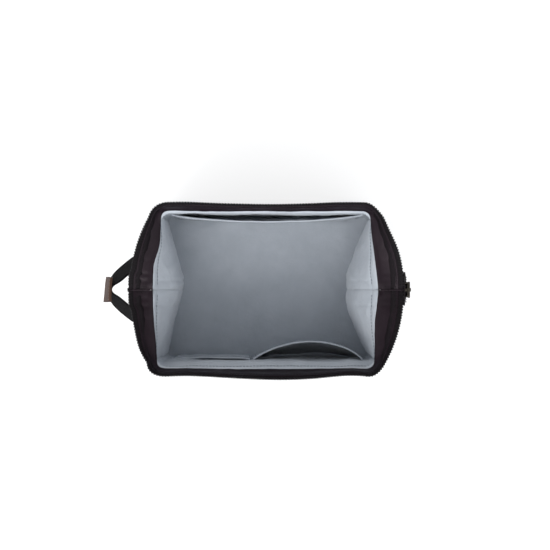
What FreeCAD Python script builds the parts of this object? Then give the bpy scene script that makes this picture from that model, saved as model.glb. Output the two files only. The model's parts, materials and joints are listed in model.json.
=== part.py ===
"""Wire-framed nappy and toiletry organiser bag, with its mouth held open.

A soft box with padded walls.  Two U-shaped spring wires run in channels round the mouth and fold about the
seam at the middle of each end, like the covers of a book.  A collar above each wire carries one half of the zip.
Millimetres, +Z up, origin in the middle of the flat underside, +X towards the end where the zip slider parks.
The bag is modelled open, which is how its fold joints rest.
"""
import FreeCAD
import Part
import math
import os

V = FreeCAD.Vector

# Mouth
RIM_Z = 180.0  # height of the fold line, the seam along each end wing
WIRE_X = 116.0  # from the middle to the leg of a mouth wire
WIRE_Y = 84.0  # from the fold line to the long bar of a mouth wire
WIRE_R = 1.5
WIRE_CORNER = 14.0
WIRE_SINK = 2.0  # the wires lie this far under the fold line, so that the two halves close face to face
CLOSE_ANGLE = 75.0  # each half turns this far to close
WING_X = 145.0  # the zip edge crosses the middle of each end here
WING_ARC = 148.0  # radius of the zip edge round an end
ZIP_Y = 91.0  # the zip edge along the long sides

# Walls, each a sandwich of outer fabric, foam and lining
BODY_X = 120.0
BODY_Y = 88.0
BODY_CORNER = 11.0
WALL_TOP = 174.0
FABRIC = 0.8
FOAM = 2.8
PLY_GAP = 0.2
BOTTOM_T = 1.0
BOARD_T = 2.0
GUSSET_X = 115.5  # where an end lining meets the wall
GUSSET_FOLDS = ((6.0, 10.0), (50.0, 22.0), (100.0, 28.0), (140.0, 16.0), (WALL_TOP - 2, 1.0))  # height, depth

# Collar and zip
COLLAR_START = 3.1  # the collar's cloth starts this far from the wire's axis
CHANNEL_BORE = 2.2
CHANNEL_R = 2.8
TAPE_T = 0.5
TAPE_GAP = 0.12  # between the tape and the collar's cloths
TAPE_SHOWS = 6.0  # tape and teeth beyond the collar's edge
TAPE_W = 15.0
TOOTH = (1.7, 3.9, 2.4)  # along the zip, across it, thick
TOOTH_PITCH = 3.0
EDGE_SINK = 1.8  # the zip edge lies this far under the closing plane
SEAM_CORD_R = 1.2
SEAM_GAP = 2.0  # the cloth of each half stops this far from the fold line

# Zip ends, which hang down over each end of the bag
STUB_X = 145.6
STUB_HALF_W = 17.0
STUB_TOP = 181.2
STUB_FOOT = 140.0
STUB_SLOT = 4.6  # between the tapes, for the teeth
TAB_H = 15.0

# Slider and its pull
SLIDER_W = 15.5
SLIDER_H = 17.5
SLIDER_Z = 158.0
SLIDER_PLATE = 1.4
PULL_Z = 167.0
PULL_X = 151.1
PULL_ROD_R = 0.95
PULL_W = 17.5
PULL_L = 30.0
PULL_T = 1.8

# Carrying loop at the other end
LOOP_ROOT = V(-129.5, 42.0, 127.0)
LOOP_APEX_X = -172.5
LOOP_BEND = 10.0
LOOP_T = 2.0
LOOP_W = 20.0
LOOP_LIFT = 18.0
GRIP_T = 2.9
GRIP_SINK = 1.0
GRIP_HALF = 13.5
GRIP_HALF_H = 12.0
PAD_Y = (34.0, 52.0)

# Pockets
POCKET_T = 0.8
POCKET_FOOT = 7.0
POCKETS = {  # name: side, low x, high x, top, bulge
    "front_left_pocket": (-1, -104.0, -19.0, 112.0, 11.0),
    "front_right_pocket": (-1, -15.0, 104.0, 120.0, 22.0),
    "back_pocket": (1, -104.0, 104.0, 116.0, 12.0),
}

LINING_Y = BODY_Y - FABRIC - PLY_GAP - FOAM - PLY_GAP - FABRIC  # the face that the contents touch
CLOSE_SLOPE = math.tan(math.radians(90 - CLOSE_ANGLE))


def save(name, *solids):
    """Writes one node, and says what it is made of."""
    shape = solids[0] if len(solids) == 1 else Part.makeCompound(list(solids))
    bad = [s for s in shape.Solids if not s.isValid() or s.Volume <= 0]
    print(f"{name}: {len(shape.Solids)} solids, {shape.Volume:.0f} mm3{', BAD' if bad else ''}")
    shape.exportStep(f"parts/{name}.step")


def block(x, y, z):
    """A box from (low, high) pairs."""
    return Part.makeBox(x[1] - x[0], y[1] - y[0], z[1] - z[0], V(x[0], y[0], z[0]))


def rounded_slab(half_x, half_y, corner, low, high):
    """A slab with round vertical corners, centred on the Z axis."""
    slab = block((-half_x, half_x), (-half_y, half_y), (low, high))
    upright = [e for e in slab.Edges if abs(e.tangentAt(e.FirstParameter).z) > 0.99]
    return slab.makeFillet(corner, upright)


def outline_prism(corners, low, high):
    """A prism over a closed outline of (x, y) corners."""
    points = [V(x, y, low) for x, y in corners]
    return Part.Face(Part.makePolygon(points + points[:1])).extrude(V(0, 0, high - low))


# ---------------------------------------------------------------- body of the bag

def outer_panels():
    """The front and back outer panels, each wrapped round to the seams at the middle of the ends."""
    ring = rounded_slab(BODY_X, BODY_Y, BODY_CORNER, BOTTOM_T, WALL_TOP).cut(
        rounded_slab(BODY_X - FABRIC, BODY_Y - FABRIC, BODY_CORNER - FABRIC, 0, RIM_Z)
    )
    for name, side in (("front_outer_panel", -1), ("back_outer_panel", 1)):
        keep = sorted((side * PLY_GAP, side * 2 * BODY_Y))
        save(name, ring.common(block((-2 * BODY_X, 2 * BODY_X), keep, (0, RIM_Z))).Solids[0])


def wall_pads():
    """Foam plates in the four walls, their ends cut to follow the corners, and the flat linings of the long walls."""
    outer, inner = FABRIC + PLY_GAP, FABRIC + PLY_GAP + FOAM
    bend = BODY_CORNER - FABRIC
    corner_end = BODY_CORNER - math.sqrt(bend**2 - (bend - PLY_GAP) ** 2) + 0.1
    for name, side in (("front", -1), ("back", 1)):
        near, far = side * (BODY_Y - inner), side * (BODY_Y - outer)
        short, wide = BODY_X - corner_end, BODY_X - inner - PLY_GAP
        plate = [(-wide, near), (-short, far), (short, far), (wide, near)]
        save(f"{name}_wall_foam", outline_prism(plate, BOTTOM_T, WALL_TOP))
        cloth = sorted((side * LINING_Y, side * (LINING_Y + FABRIC)))
        save(f"{name}_lining", block((-GUSSET_X, GUSSET_X), cloth, (POCKET_FOOT - 2, WALL_TOP)))
    for name, side in (("left", -1), ("right", 1)):
        near, far = side * (BODY_X - inner), side * (BODY_X - outer)
        short, wide = BODY_Y - corner_end, BODY_Y - inner - 0.3
        plate = [(near, -wide), (far, -short), (far, short), (near, wide)]
        save(f"{name}_end_foam", outline_prism(plate, BOTTOM_T, WALL_TOP))


def end_gussets():
    """The linings of the ends, folded inwards along their middle."""
    half = LINING_Y - PLY_GAP
    for name, side in (("left", -1), ("right", 1)):
        rings = []
        for z, depth in GUSSET_FOLDS:
            outer = [(GUSSET_X, -half), (GUSSET_X - depth, 0), (GUSSET_X, half)]
            inner = [(x - FABRIC, y) for x, y in reversed(outer)]
            corners = [V(side * x, y, z) for x, y in outer + inner]
            rings.append(Part.makePolygon(corners + corners[:1]))
        save(f"{name}_gusset_lining", Part.makeLoft(rings, True, True))


def bottom():
    """The outer bottom, the stiff board on it and the bottom lining."""
    board_x = BODY_X - 4
    board_y = BODY_Y - 4
    lining_top = BOTTOM_T + BOARD_T + FABRIC
    save("bottom_panel", rounded_slab(BODY_X, BODY_Y, BODY_CORNER, 0, BOTTOM_T))
    save("base_board", rounded_slab(board_x, board_y, BODY_CORNER, BOTTOM_T, BOTTOM_T + BOARD_T))
    save(
        "bottom_lining",
        rounded_slab(board_x - 2, board_y - 1, BODY_CORNER, BOTTOM_T + BOARD_T, lining_top),
    )


def lens(low_x, high_x, wall_y, bulge, low, high):
    """A prism between a straight wall and an arc that stands off it by bulge, towards the middle of the bag."""
    inward = -math.copysign(1, wall_y)
    a, b = V(low_x, wall_y, low), V(high_x, wall_y, low)
    top = V((low_x + high_x) / 2, wall_y + inward * bulge, low)
    rim = Part.Wire([Part.LineSegment(a, b).toShape(), Part.Arc(b, top, a).toShape()])
    return Part.Face(rim).extrude(V(0, 0, high - low))


def pockets():
    """Slip pockets on the long walls: a cloth that stands off the lining, closed at its foot."""
    for name, (side, low_x, high_x, top, bulge) in POCKETS.items():
        wall = side * (LINING_Y - PLY_GAP)
        full = lens(low_x, high_x, wall, bulge, POCKET_FOOT, top)
        inset = 4 * POCKET_T
        hollow = lens(low_x + inset, high_x - inset, wall, bulge - POCKET_T, POCKET_FOOT + POCKET_T, top + 1)
        save(name, full.cut(hollow))


# ---------------------------------------------------------------- mouth wires, channels and collars

def mouth_wire_path(side, start):
    """The U of a mouth wire, from the end of one leg to the end of the other."""
    z = RIM_Z - WIRE_SINK
    bend = WIRE_CORNER
    mid = bend * (1 - math.sqrt(0.5))

    def at(x, y):
        return V(x, side * y, z)

    edges = [
        Part.LineSegment(at(WIRE_X, start), at(WIRE_X, WIRE_Y - bend)),
        Part.Arc(at(WIRE_X, WIRE_Y - bend), at(WIRE_X - mid, WIRE_Y - mid), at(WIRE_X - bend, WIRE_Y)),
        Part.LineSegment(at(WIRE_X - bend, WIRE_Y), at(bend - WIRE_X, WIRE_Y)),
        Part.Arc(at(bend - WIRE_X, WIRE_Y), at(mid - WIRE_X, WIRE_Y - mid), at(-WIRE_X, WIRE_Y - bend)),
        Part.LineSegment(at(-WIRE_X, WIRE_Y - bend), at(-WIRE_X, start)),
    ]
    return Part.Wire([e.toShape() for e in edges])


def rod(path, radius):
    """A round rod swept along a wire."""
    start = path.Edges[0]
    foot = start.valueAt(start.FirstParameter)
    ring = Part.Wire(Part.makeCircle(radius, foot, start.tangentAt(start.FirstParameter)))
    return path.makePipeShell([ring], True, False)


def rails(side):
    """Matching points on the wire's line and on the zip's edge, from the right end round to the left end."""
    near = SEAM_GAP
    leg_end = WIRE_Y - WIRE_CORNER
    arc_end = leg_end + 6
    arc_centre = WING_X - WING_ARC
    pairs = []

    def zip_z(y):
        return RIM_Z + y * CLOSE_SLOPE - EDGE_SINK

    def add(px, py, qx, qy):
        pairs.append((V(px, side * py, RIM_Z - WIRE_SINK), V(qx, side * qy, zip_z(qy))))

    def arc_x(y):
        return arc_centre + math.sqrt(WING_ARC**2 - y**2)

    for k in range(7):
        share = k / 6
        py, qy = near + (leg_end - near) * share, near + (arc_end - near) * share
        add(WIRE_X, py, arc_x(qy), qy)
    start, knee, end = (arc_x(arc_end), arc_end), (arc_x(ZIP_Y), ZIP_Y), (WIRE_X - WIRE_CORNER, ZIP_Y)
    for k in range(1, 7):
        s = k / 6
        turn = s * math.pi / 2
        px = WIRE_X - WIRE_CORNER * (1 - math.cos(turn))
        py = leg_end + WIRE_CORNER * math.sin(turn)
        qx, qy = ((1 - s) ** 2 * a + 2 * s * (1 - s) * b + s * s * c for a, b, c in zip(start, knee, end))
        add(px, py, qx, qy)
    half = list(pairs)
    mirrored = [(V(-p.x, p.y, p.z), V(-q.x, q.y, q.z)) for p, q in reversed(half)]
    return half + mirrored


def stations(side):
    """(wire point, zip point, direction across the collar, normal on the facing side) along the mouth."""
    pairs = rails(side)
    found = []
    for k, (p, q) in enumerate(pairs):
        before, after = pairs[max(k - 1, 0)], pairs[min(k + 1, len(pairs) - 1)]
        along = (after[0] - before[0]).normalize() + (after[1] - before[1]).normalize()
        across = (q - p).normalize()
        normal = along.cross(across).normalize()
        if normal.z < 0:
            normal = normal * -1
        found.append((p, q, across, normal))
    return found


def strip(side, first, last, low, high):
    """A thin strip of the collar.  first and last are distances across it, from the wire if positive and from the
    zip's edge if not; low and high are its faces, measured along the normal."""
    rings = []
    for p, q, across, normal in stations(side):
        a = p + across * first if first > 0 else q + across * first
        b = p + across * last if last > 0 else q + across * last
        corners = [a + normal * low, b + normal * low, b + normal * high, a + normal * high]
        rings.append(Part.makePolygon(corners + corners[:1]))
    return Part.makeLoft(rings, True, True)


def tooth_at(foot, along, across, normal):
    """One moulded tooth, centred on the tape's edge plane, its tip at foot."""
    length, depth, thick = TOOTH
    low = foot - along * (length / 2) - across * depth - normal * (thick / 2)
    corners = [low, low + along * length, low + along * length + across * depth, low + across * depth]
    return Part.Face(Part.makePolygon(corners + corners[:1])).extrude(normal * thick)


def collar_teeth(side, phase):
    """Teeth along the zip's edge, one pitch apart."""
    points = stations(side)
    made, travelled, due = [], 0.0, TOOTH_PITCH * (0.5 + phase)
    for (_, q0, u0, n0), (_, q1, u1, n1) in zip(points, points[1:]):
        span = (q1 - q0).Length
        along = (q1 - q0).normalize()
        while due <= travelled + span:
            share = (due - travelled) / span
            across = (u0 * (1 - share) + u1 * share).normalize()
            normal = along.cross(across).normalize()
            if normal.z < 0:
                normal = normal * -1
            across = normal.cross(along).normalize() * (1 if normal.cross(along).dot(across) > 0 else -1)
            made.append(tooth_at(q0 + (q1 - q0) * share, along, across, normal))
            due += TOOTH_PITCH
        travelled += span
    return made


def mouth_half(name, side, phase):
    """One half of the mouth: wire, end caps, channel, collar and its half of the zip."""
    leg_start = 8.0
    cap_start, cap_end = 6.0, 18.0
    save(f"{name}_mouth_wire", rod(mouth_wire_path(side, leg_start), WIRE_R))
    caps = []
    for x in (-WIRE_X, WIRE_X):
        z = RIM_Z - WIRE_SINK
        body = Part.makeCylinder(CHANNEL_BORE - 0.1, cap_end - cap_start, V(x, side * cap_start, z), V(0, side, 0))
        bore = Part.makeCylinder(WIRE_R, cap_end, V(x, side * leg_start, z), V(0, side, 0))
        caps.append(body.cut(bore))
    save(f"{name}_wire_end_caps", *caps)
    channel_path = mouth_wire_path(side, cap_start - 0.5)
    save(f"{name}_wire_channel", rod(channel_path, CHANNEL_R).cut(rod(channel_path, CHANNEL_BORE)))
    face = TAPE_T / 2 + TAPE_GAP
    save(f"{name}_collar_outer", strip(side, COLLAR_START, -TAPE_SHOWS, -face - FABRIC, -face))
    save(f"{name}_collar_facing", strip(side, COLLAR_START, -TAPE_SHOWS, face, face + FABRIC))
    save(f"{name}_zip_tape", strip(side, -TAPE_W, -TOOTH[1] - 0.4, -TAPE_T / 2, TAPE_T / 2))
    save(f"{name}_zip_teeth", *collar_teeth(side, phase))


# ---------------------------------------------------------------- zip ends, seams and slider

def zip_end(name, side, slot_foot):
    """The end of the zip that hangs over one end of the bag, its tab, and the seam that the mouth folds about."""
    x = sorted((side * STUB_X, side * (STUB_X + TAPE_T)))
    tape = block(x, (-STUB_HALF_W, STUB_HALF_W), (STUB_FOOT, STUB_TOP))
    slot = block((min(x) - 1, max(x) + 1), (-STUB_SLOT / 2, STUB_SLOT / 2), (slot_foot, STUB_TOP - 4))
    save(f"{name}_zip_end_tape", tape.cut(slot))
    x = sorted((side * (STUB_X + TAPE_T), side * (STUB_X + TAPE_T + TOOTH[2] * 0.8)))
    length, depth = TOOTH[0], TOOTH[1] / 2
    teeth = []
    top = STUB_TOP - 5
    for row, edge in ((-1, -STUB_SLOT / 2), (1, STUB_SLOT / 2)):
        z = STUB_FOOT + TAB_H / 2 + (0 if row < 0 else TOOTH_PITCH / 2)
        while z + length < top:
            teeth.append(block(x, sorted((edge, edge + row * depth)), (z, z + length)))
            z += TOOTH_PITCH
    save(f"{name}_zip_end_teeth", *teeth)
    cover = block(
        sorted((side * (STUB_X - 0.9), side * (STUB_X + TAPE_T + 2.4))),
        (-STUB_HALF_W - 1, STUB_HALF_W + 1),
        (STUB_FOOT - TAB_H / 2, STUB_FOOT + TAB_H / 2 - 0.2),
    )
    inside = block(
        sorted((side * STUB_X, side * (STUB_X + TAPE_T))),
        (-STUB_HALF_W, STUB_HALF_W),
        (STUB_FOOT, STUB_TOP),
    )
    save(f"{name}_zip_end_tab", cover.cut(inside))
    save(
        f"{name}_end_seam",
        Part.makeCylinder(SEAM_CORD_R, STUB_X - WIRE_X - 3, V(side * (WIRE_X + 3), 0, RIM_Z), V(side, 0, 0)),
    )


def slider():
    """Slider body with its bridge, and the pull that hangs from it."""
    back_face = STUB_X - 0.2
    front_face = STUB_X + TAPE_T + TOOTH[2] * 0.8 + 0.2
    z = (SLIDER_Z, SLIDER_Z + SLIDER_H)
    half = SLIDER_W / 2
    back = block((back_face - SLIDER_PLATE, back_face), (-half, half), z)
    front = block((front_face, front_face + SLIDER_PLATE), (-half, half), z)
    post = block((back_face, front_face), (-STUB_SLOT / 2 + 0.4, STUB_SLOT / 2 - 0.4), (z[1] - 6, z[1]))
    body = back.fuse(front).fuse(post)
    for side in (-1, 1):
        flange_y = sorted((side * (half - 1.2), side * half))
        body = body.fuse(block((STUB_X + TAPE_T + 0.15, front_face), flange_y, z))
    arch_out = PULL_X + PULL_ROD_R + 1.2
    arch_z = (PULL_Z - 5, PULL_Z + 5)
    arch = block((front_face + SLIDER_PLATE, arch_out), (-2, 2), arch_z)
    arch = arch.makeFillet(1.0, [e for e in arch.Edges if abs(e.CenterOfMass.x - arch_out) < 0.01 and e.Length < 5])
    window = block(
        (front_face + SLIDER_PLATE, PULL_X + PULL_ROD_R + 0.15), (-3, 3), (arch_z[0] + 1.6, arch_z[1] - 1.6)
    )
    body = body.fuse(arch.cut(window)).removeSplitter()
    save("slider_body", body)

    bar = Part.makeCylinder(PULL_ROD_R, PULL_W - 4, V(PULL_X, 2 - PULL_W / 2, PULL_Z), V(0, 1, 0))
    plate = block(
        (PULL_X - PULL_T / 2, PULL_X + PULL_T / 2),
        (-PULL_W / 2, PULL_W / 2),
        (PULL_Z - PULL_L, PULL_Z + PULL_ROD_R),
    )
    corners = [e for e in plate.Edges if abs(e.tangentAt(e.FirstParameter).x) > 0.99]
    plate = plate.makeFillet(1.8, corners)
    near = block((PULL_X - 3, PULL_X + 3), (-PULL_W / 2 + 2.6, PULL_W / 2 - 2.6), (PULL_Z - 8, PULL_Z + 3))
    grip = block(
        (PULL_X - 3, PULL_X + 3), (-PULL_W / 2 + 3.4, PULL_W / 2 - 3.4), (PULL_Z - PULL_L + 4, PULL_Z - 12)
    )
    save("slider_pull", plate.cut(near).cut(grip).fuse(bar).removeSplitter())


# ---------------------------------------------------------------- carrying loop

def loop_band(offset_out, offset_in, half_height):
    """The loop's band between two offsets from its middle line, upright before it is tilted."""
    root_x, root_y = LOOP_ROOT.x, LOOP_ROOT.y
    centre_x = LOOP_APEX_X + LOOP_BEND
    reach = math.hypot(root_x - centre_x, root_y)
    lead = math.atan2(root_y, root_x - centre_x) + math.acos(LOOP_BEND / reach)
    normal = (math.cos(lead), math.sin(lead))
    low = LOOP_ROOT.z - half_height

    def side_points(offset):
        radius = LOOP_BEND + offset
        touch = (centre_x + radius * normal[0], radius * normal[1])
        root = (root_x + offset * normal[0], root_y + offset * normal[1])
        return V(*root, low), V(*touch, low), V(centre_x - radius, 0, low)

    def flip(p):
        return V(p.x, -p.y, p.z)

    r_out, t_out, a_out = side_points(offset_out)
    r_in, t_in, a_in = side_points(offset_in)
    edges = [
        Part.LineSegment(r_out, t_out),
        Part.Arc(t_out, a_out, flip(t_out)),
        Part.LineSegment(flip(t_out), flip(r_out)),
        Part.LineSegment(flip(r_out), flip(r_in)),
        Part.LineSegment(flip(r_in), flip(t_in)),
        Part.Arc(flip(t_in), a_in, t_in),
        Part.LineSegment(t_in, r_in),
        Part.LineSegment(r_in, r_out),
    ]
    face = Part.Face(Part.Wire([e.toShape() for e in edges]))
    return face.extrude(V(0, 0, 2 * half_height))


def carrying_loop():
    """Webbing loop, its leather grip, and the pads that its ends are sewn under."""
    pivot = V(LOOP_ROOT.x, 0, LOOP_ROOT.z)
    webbing = loop_band(LOOP_T / 2, -LOOP_T / 2, LOOP_W / 2)
    back = LOOP_APEX_X - LOOP_T / 2 + GRIP_SINK
    patch = block(
        (back - GRIP_T, back),
        (-GRIP_HALF, GRIP_HALF),
        (LOOP_ROOT.z - GRIP_HALF_H, LOOP_ROOT.z + GRIP_HALF_H),
    )
    grip = patch.cut(loop_band(LOOP_T / 2 + 0.05, -LOOP_T / 2, LOOP_W))
    for name, shape in (("loop_webbing", webbing), ("loop_leather_grip", grip)):
        shape.rotate(pivot, V(0, 1, 0), LOOP_LIFT)
        save(name, shape.Solids[0])
    pads = [
        block(
            (-BODY_X - 3.2, -BODY_X - 0.2),
            sorted((side * PAD_Y[0], side * PAD_Y[1])),
            (LOOP_ROOT.z - LOOP_W / 2 - 1, LOOP_ROOT.z + LOOP_W / 2 + 1),
        )
        for side in (-1, 1)
    ]
    save("loop_anchor_pads", *pads)


def main():
    os.makedirs("parts", exist_ok=True)
    bottom()
    outer_panels()
    wall_pads()
    end_gussets()
    pockets()
    mouth_half("front", -1, 0.25)
    mouth_half("back", 1, 0.75)
    zip_end("right", 1, SLIDER_Z + 1)
    zip_end("left", -1, STUB_TOP - 6)
    slider()
    carrying_loop()


main()
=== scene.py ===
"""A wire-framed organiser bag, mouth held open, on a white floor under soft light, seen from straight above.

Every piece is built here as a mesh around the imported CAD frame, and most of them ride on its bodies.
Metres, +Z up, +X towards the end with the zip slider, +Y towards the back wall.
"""
import json
import math
import bmesh
import bpy
import numpy as np
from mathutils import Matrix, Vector


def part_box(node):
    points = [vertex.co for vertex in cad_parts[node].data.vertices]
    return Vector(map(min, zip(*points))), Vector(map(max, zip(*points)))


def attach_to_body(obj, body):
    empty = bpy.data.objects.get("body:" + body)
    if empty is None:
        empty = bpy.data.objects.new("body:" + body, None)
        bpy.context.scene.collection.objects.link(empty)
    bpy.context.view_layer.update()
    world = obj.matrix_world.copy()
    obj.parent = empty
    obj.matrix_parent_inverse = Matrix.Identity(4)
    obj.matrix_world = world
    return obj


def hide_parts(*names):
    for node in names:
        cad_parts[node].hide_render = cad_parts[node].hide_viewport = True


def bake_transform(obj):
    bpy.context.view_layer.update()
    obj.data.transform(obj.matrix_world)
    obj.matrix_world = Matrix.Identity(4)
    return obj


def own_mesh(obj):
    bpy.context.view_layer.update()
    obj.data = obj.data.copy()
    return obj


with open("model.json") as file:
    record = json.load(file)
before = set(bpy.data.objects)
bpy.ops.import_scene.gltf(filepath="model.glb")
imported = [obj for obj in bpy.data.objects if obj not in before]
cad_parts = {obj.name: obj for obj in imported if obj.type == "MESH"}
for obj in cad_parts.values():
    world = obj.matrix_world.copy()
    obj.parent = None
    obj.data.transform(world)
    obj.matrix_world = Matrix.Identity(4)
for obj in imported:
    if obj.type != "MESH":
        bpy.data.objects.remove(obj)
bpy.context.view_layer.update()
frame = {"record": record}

MM = 0.001


def box(node):
    lo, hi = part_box(node)
    return np.array(lo), np.array(hi)


# ------------------------------------------------------------------ sizes, read from the CAD frame
JOINTS = {j["name"]: j for j in frame["record"]["behaviour"]["joints"]}
RIM_Z = JOINTS["front_frame_fold"]["pos_m"][2]
WIRE_LO, WIRE_HI = box("back_mouth_wire")
WIRE_R = (WIRE_HI[2] - WIRE_LO[2]) / 2
WIRE_X, WIRE_Y, WIRE_Z = WIRE_HI[0] - WIRE_R, WIRE_HI[1] - WIRE_R, WIRE_HI[2] - WIRE_R
WIRE_BEND = 14 * MM
BODY_X, BODY_Y = box("back_outer_panel")[1][:2]
WALL_TOP = box("back_wall_foam")[1][2]
LINE_X, LINE_Y = box("right_gusset_lining")[1][0], box("back_lining")[0][1]
ZIP_X = box("back_zip_teeth")[1][0]
ZIP_Y = 91 * MM
ARC = 148 * MM
SLOPE = math.tan(math.radians(15))
EDGE_SINK = 1.8 * MM
SPLIT_Z = 125 * MM  # the walls are built as a lower and an upper piece that meet at this height
TUBE_R = 2.95 * MM
SEAM_Z = 165.5 * MM  # stitching under the wire's channel
TAPE_SHOWS = 6 * MM


# ------------------------------------------------------------------ noise
def perlin(p, seed=0):
    """Gradient noise at points (..., 3), from about -0.7 to 0.7."""
    shape = p.shape[:-1]
    p = p.reshape(-1, 3).astype(float)
    cell = np.floor(p).astype(np.int64)
    f = p - cell
    s = f * f * f * (f * (f * 6 - 15) + 10)
    total = np.zeros(len(p))
    for dx in (0, 1):
        for dy in (0, 1):
            for dz in (0, 1):
                q = cell + (dx, dy, dz)
                h = q[:, 0] * 73856093 ^ q[:, 1] * 19349663 ^ q[:, 2] * 83492791 ^ (seed * 9781 + 11)
                h = h & 0x7FFFFFFF
                h = ((h ^ (h >> 13)) * 1274126177) & 0x7FFFFFFF
                h = ((h ^ (h >> 16)) * 2246822519) & 0x7FFFFFFF
                g = np.stack([(h >> 3 & 511), (h >> 12 & 511), (h >> 21 & 511)], 1) / 255.5 - 1
                w = [s[:, k] if d else 1 - s[:, k] for k, d in enumerate((dx, dy, dz))]
                total += (g * (f - (dx, dy, dz))).sum(1) * w[0] * w[1] * w[2]
    return total.reshape(shape)


def waves(p, size, seed=0, octaves=3):
    """Soft unevenness, about -0.6 to 0.6, with features of that size in metres along each axis."""
    q = p / np.asarray(size)
    return sum(perlin(q * 2**k + 7.3 * k, seed + k) / 2**k for k in range(octaves))


def creases(p, size, seed=0, sharp=3.0):
    """Sharp-backed folds between flatter areas, 0 to 1."""
    q = p / np.asarray(size)
    shifts = [perlin(q * 1.3 + by, seed + k) for by, k in ((5, 9), (17, 8), (0, 7))]
    bent = q + 0.35 * np.stack(shifts, -1)
    ridge = 1 - np.abs(perlin(bent, seed)) * 2.2
    fine = 1 - np.abs(perlin(bent * 2.1 + 3, seed + 3)) * 2.2
    return 0.7 * np.clip(ridge, 0, 1) ** sharp + 0.3 * np.clip(fine, 0, 1) ** sharp


def smooth(t):
    t = np.clip(t, 0, 1)
    return t * t * (3 - 2 * t)


def bump_at(x, centre, width):
    return np.exp(-(((x - centre) / width) ** 2))


# ------------------------------------------------------------------ meshes
class Build:
    """Collects quads, with a material and UVs in metres for each, and makes one object of them."""

    def __init__(self):
        self.verts, self.faces, self.mats, self.uvs, self.count = [], [], [], [], 0

    def add(self, verts, faces, mat=0, uv=None):
        verts = np.asarray(verts, float).reshape(-1, 3)
        self.verts.append(verts)
        for f in faces:
            self.faces.append([i + self.count for i in f])
        self.mats += [mat] * len(faces)
        flat = [i for f in faces for i in f]
        self.uvs.append(verts[flat][:, :2] if uv is None else np.asarray(uv, float).reshape(-1, 2))
        self.count += len(verts)
        return self

    def grid(self, pts, mat=0, close=False, flip=False):
        """pts is (rows, columns, 3).  close joins the last column to the first."""
        pts = np.asarray(pts, float)
        rows, cols = pts.shape[:2]
        across = np.linalg.norm(np.diff(pts, axis=0), axis=2)
        wide = np.concatenate([pts, pts[:, :1]], 1) if close else pts
        along = np.linalg.norm(np.diff(wide, axis=1), axis=2)
        v = np.concatenate([[0], np.cumsum(across.mean(1))])
        u = np.concatenate([[0], np.cumsum(along.mean(0))])
        r, c = np.meshgrid(np.arange(rows - 1), np.arange(cols if close else cols - 1), indexing="ij")
        r, c = r.ravel(), c.ravel()
        nxt = (c + 1) % cols
        quad = np.stack([r * cols + c, r * cols + nxt, (r + 1) * cols + nxt, (r + 1) * cols + c], 1)
        uvq = np.stack([np.stack([u[c + i], v[r + j]], 1) for i, j in ((0, 0), (1, 0), (1, 1), (0, 1))], 1)
        if flip:
            quad, uvq = quad[:, ::-1], uvq[:, ::-1]
        return self.add(pts.reshape(-1, 3), quad.tolist(), mat, uvq)

    def solid(self, verts, faces, mat=0):
        """Adds faces that need no UVs."""
        return self.add(verts, faces, mat, np.zeros((sum(map(len, faces)), 2)))

    def caps(self, rows):
        """Closes both ends of a grid whose rows run along it."""
        for ring in (rows[:, 0], rows[:, -1][::-1]):
            self.solid(ring, [list(range(len(ring)))])

    def make(self, name, materials, flat=False):
        mesh = bpy.data.meshes.new(name)
        mesh.from_pydata(np.concatenate(self.verts).tolist(), [], self.faces)
        for m in materials:
            mesh.materials.append(m)
        mesh.polygons.foreach_set("material_index", np.array(self.mats, np.int32))
        layer = mesh.uv_layers.new(name="cloth")
        layer.data.foreach_set("uv", np.concatenate(self.uvs).ravel().astype(np.float32))
        mesh.polygons.foreach_set("use_smooth", np.full(len(self.faces), not flat))
        work = bmesh.new()
        work.from_mesh(mesh)
        bmesh.ops.remove_doubles(work, verts=work.verts, dist=1e-7)
        work.to_mesh(mesh)
        work.free()
        mesh.validate()
        mesh.update()
        obj = bpy.data.objects.new(name, mesh)
        bpy.context.scene.collection.objects.link(obj)
        return obj


def attach(piece, body, slot, *nodes):
    """Lets a piece ride on a body, in place of the CAD nodes that it stands for."""
    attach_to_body(piece, body)
    stands_for(piece, slot, *nodes)


def stands_for(piece, slot, *nodes):
    if nodes:
        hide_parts(*nodes)


def flattens(piece):
    """Gives the piece its own copy of its mesh."""
    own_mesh(piece)


def bends(piece):
    """Bakes the piece's placement into its mesh."""
    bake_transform(piece)


def unit(v):
    return v / np.maximum(np.linalg.norm(v, axis=-1, keepdims=True), 1e-12)


def grid_normals(pts, close=False):
    """Unit normals of a (rows, columns, 3) grid."""
    down = np.gradient(pts, axis=0)
    if close:
        along = (np.roll(pts, -1, 1) - np.roll(pts, 1, 1)) / 2
    else:
        along = np.gradient(pts, axis=1)
    return unit(np.cross(along, down))


def run_along(line):
    """Distance from the start of a polyline to each of its points."""
    return np.concatenate([[0], np.cumsum(np.linalg.norm(np.diff(line, axis=0), axis=1))])


def at_runs(runs, s, points):
    """A polyline's values at those distances along it."""
    return np.stack([np.interp(runs, s, points[:, k]) for k in range(points.shape[1])], 1)


def prism_faces(layers, m):
    """Quads between successive rings of m points."""
    return [
        [i * m + k, i * m + (k + 1) % m, (i + 1) * m + (k + 1) % m, (i + 1) * m + k]
        for i in range(layers - 1)
        for k in range(m)
    ]


def repeated(faces, per, count):
    """The same faces for count copies of per vertices."""
    return [[x + j * per for x in f] for j in range(count) for f in faces]


def resample(line, step, extra=()):
    """Points about step apart along a polyline, and the same for arrays that go with it."""
    line = np.asarray(line, float)
    s = run_along(line)
    n = max(2, int(round(s[-1] / step)) + 1)
    at = np.linspace(0, s[-1], n)
    out = [at_runs(at, s, a) for a in (line, *extra)]
    return out if extra else out[0]


STITCH_SHARE = 0.74
STITCH_SIDES = 6
STITCH_RINGS = ((-1.0, 0.35, -0.6), (-0.72, 0.9, 0.1), (0.0, 1.0, 0.35), (0.72, 0.9, 0.1), (1.0, 0.35, -0.6))


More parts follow.
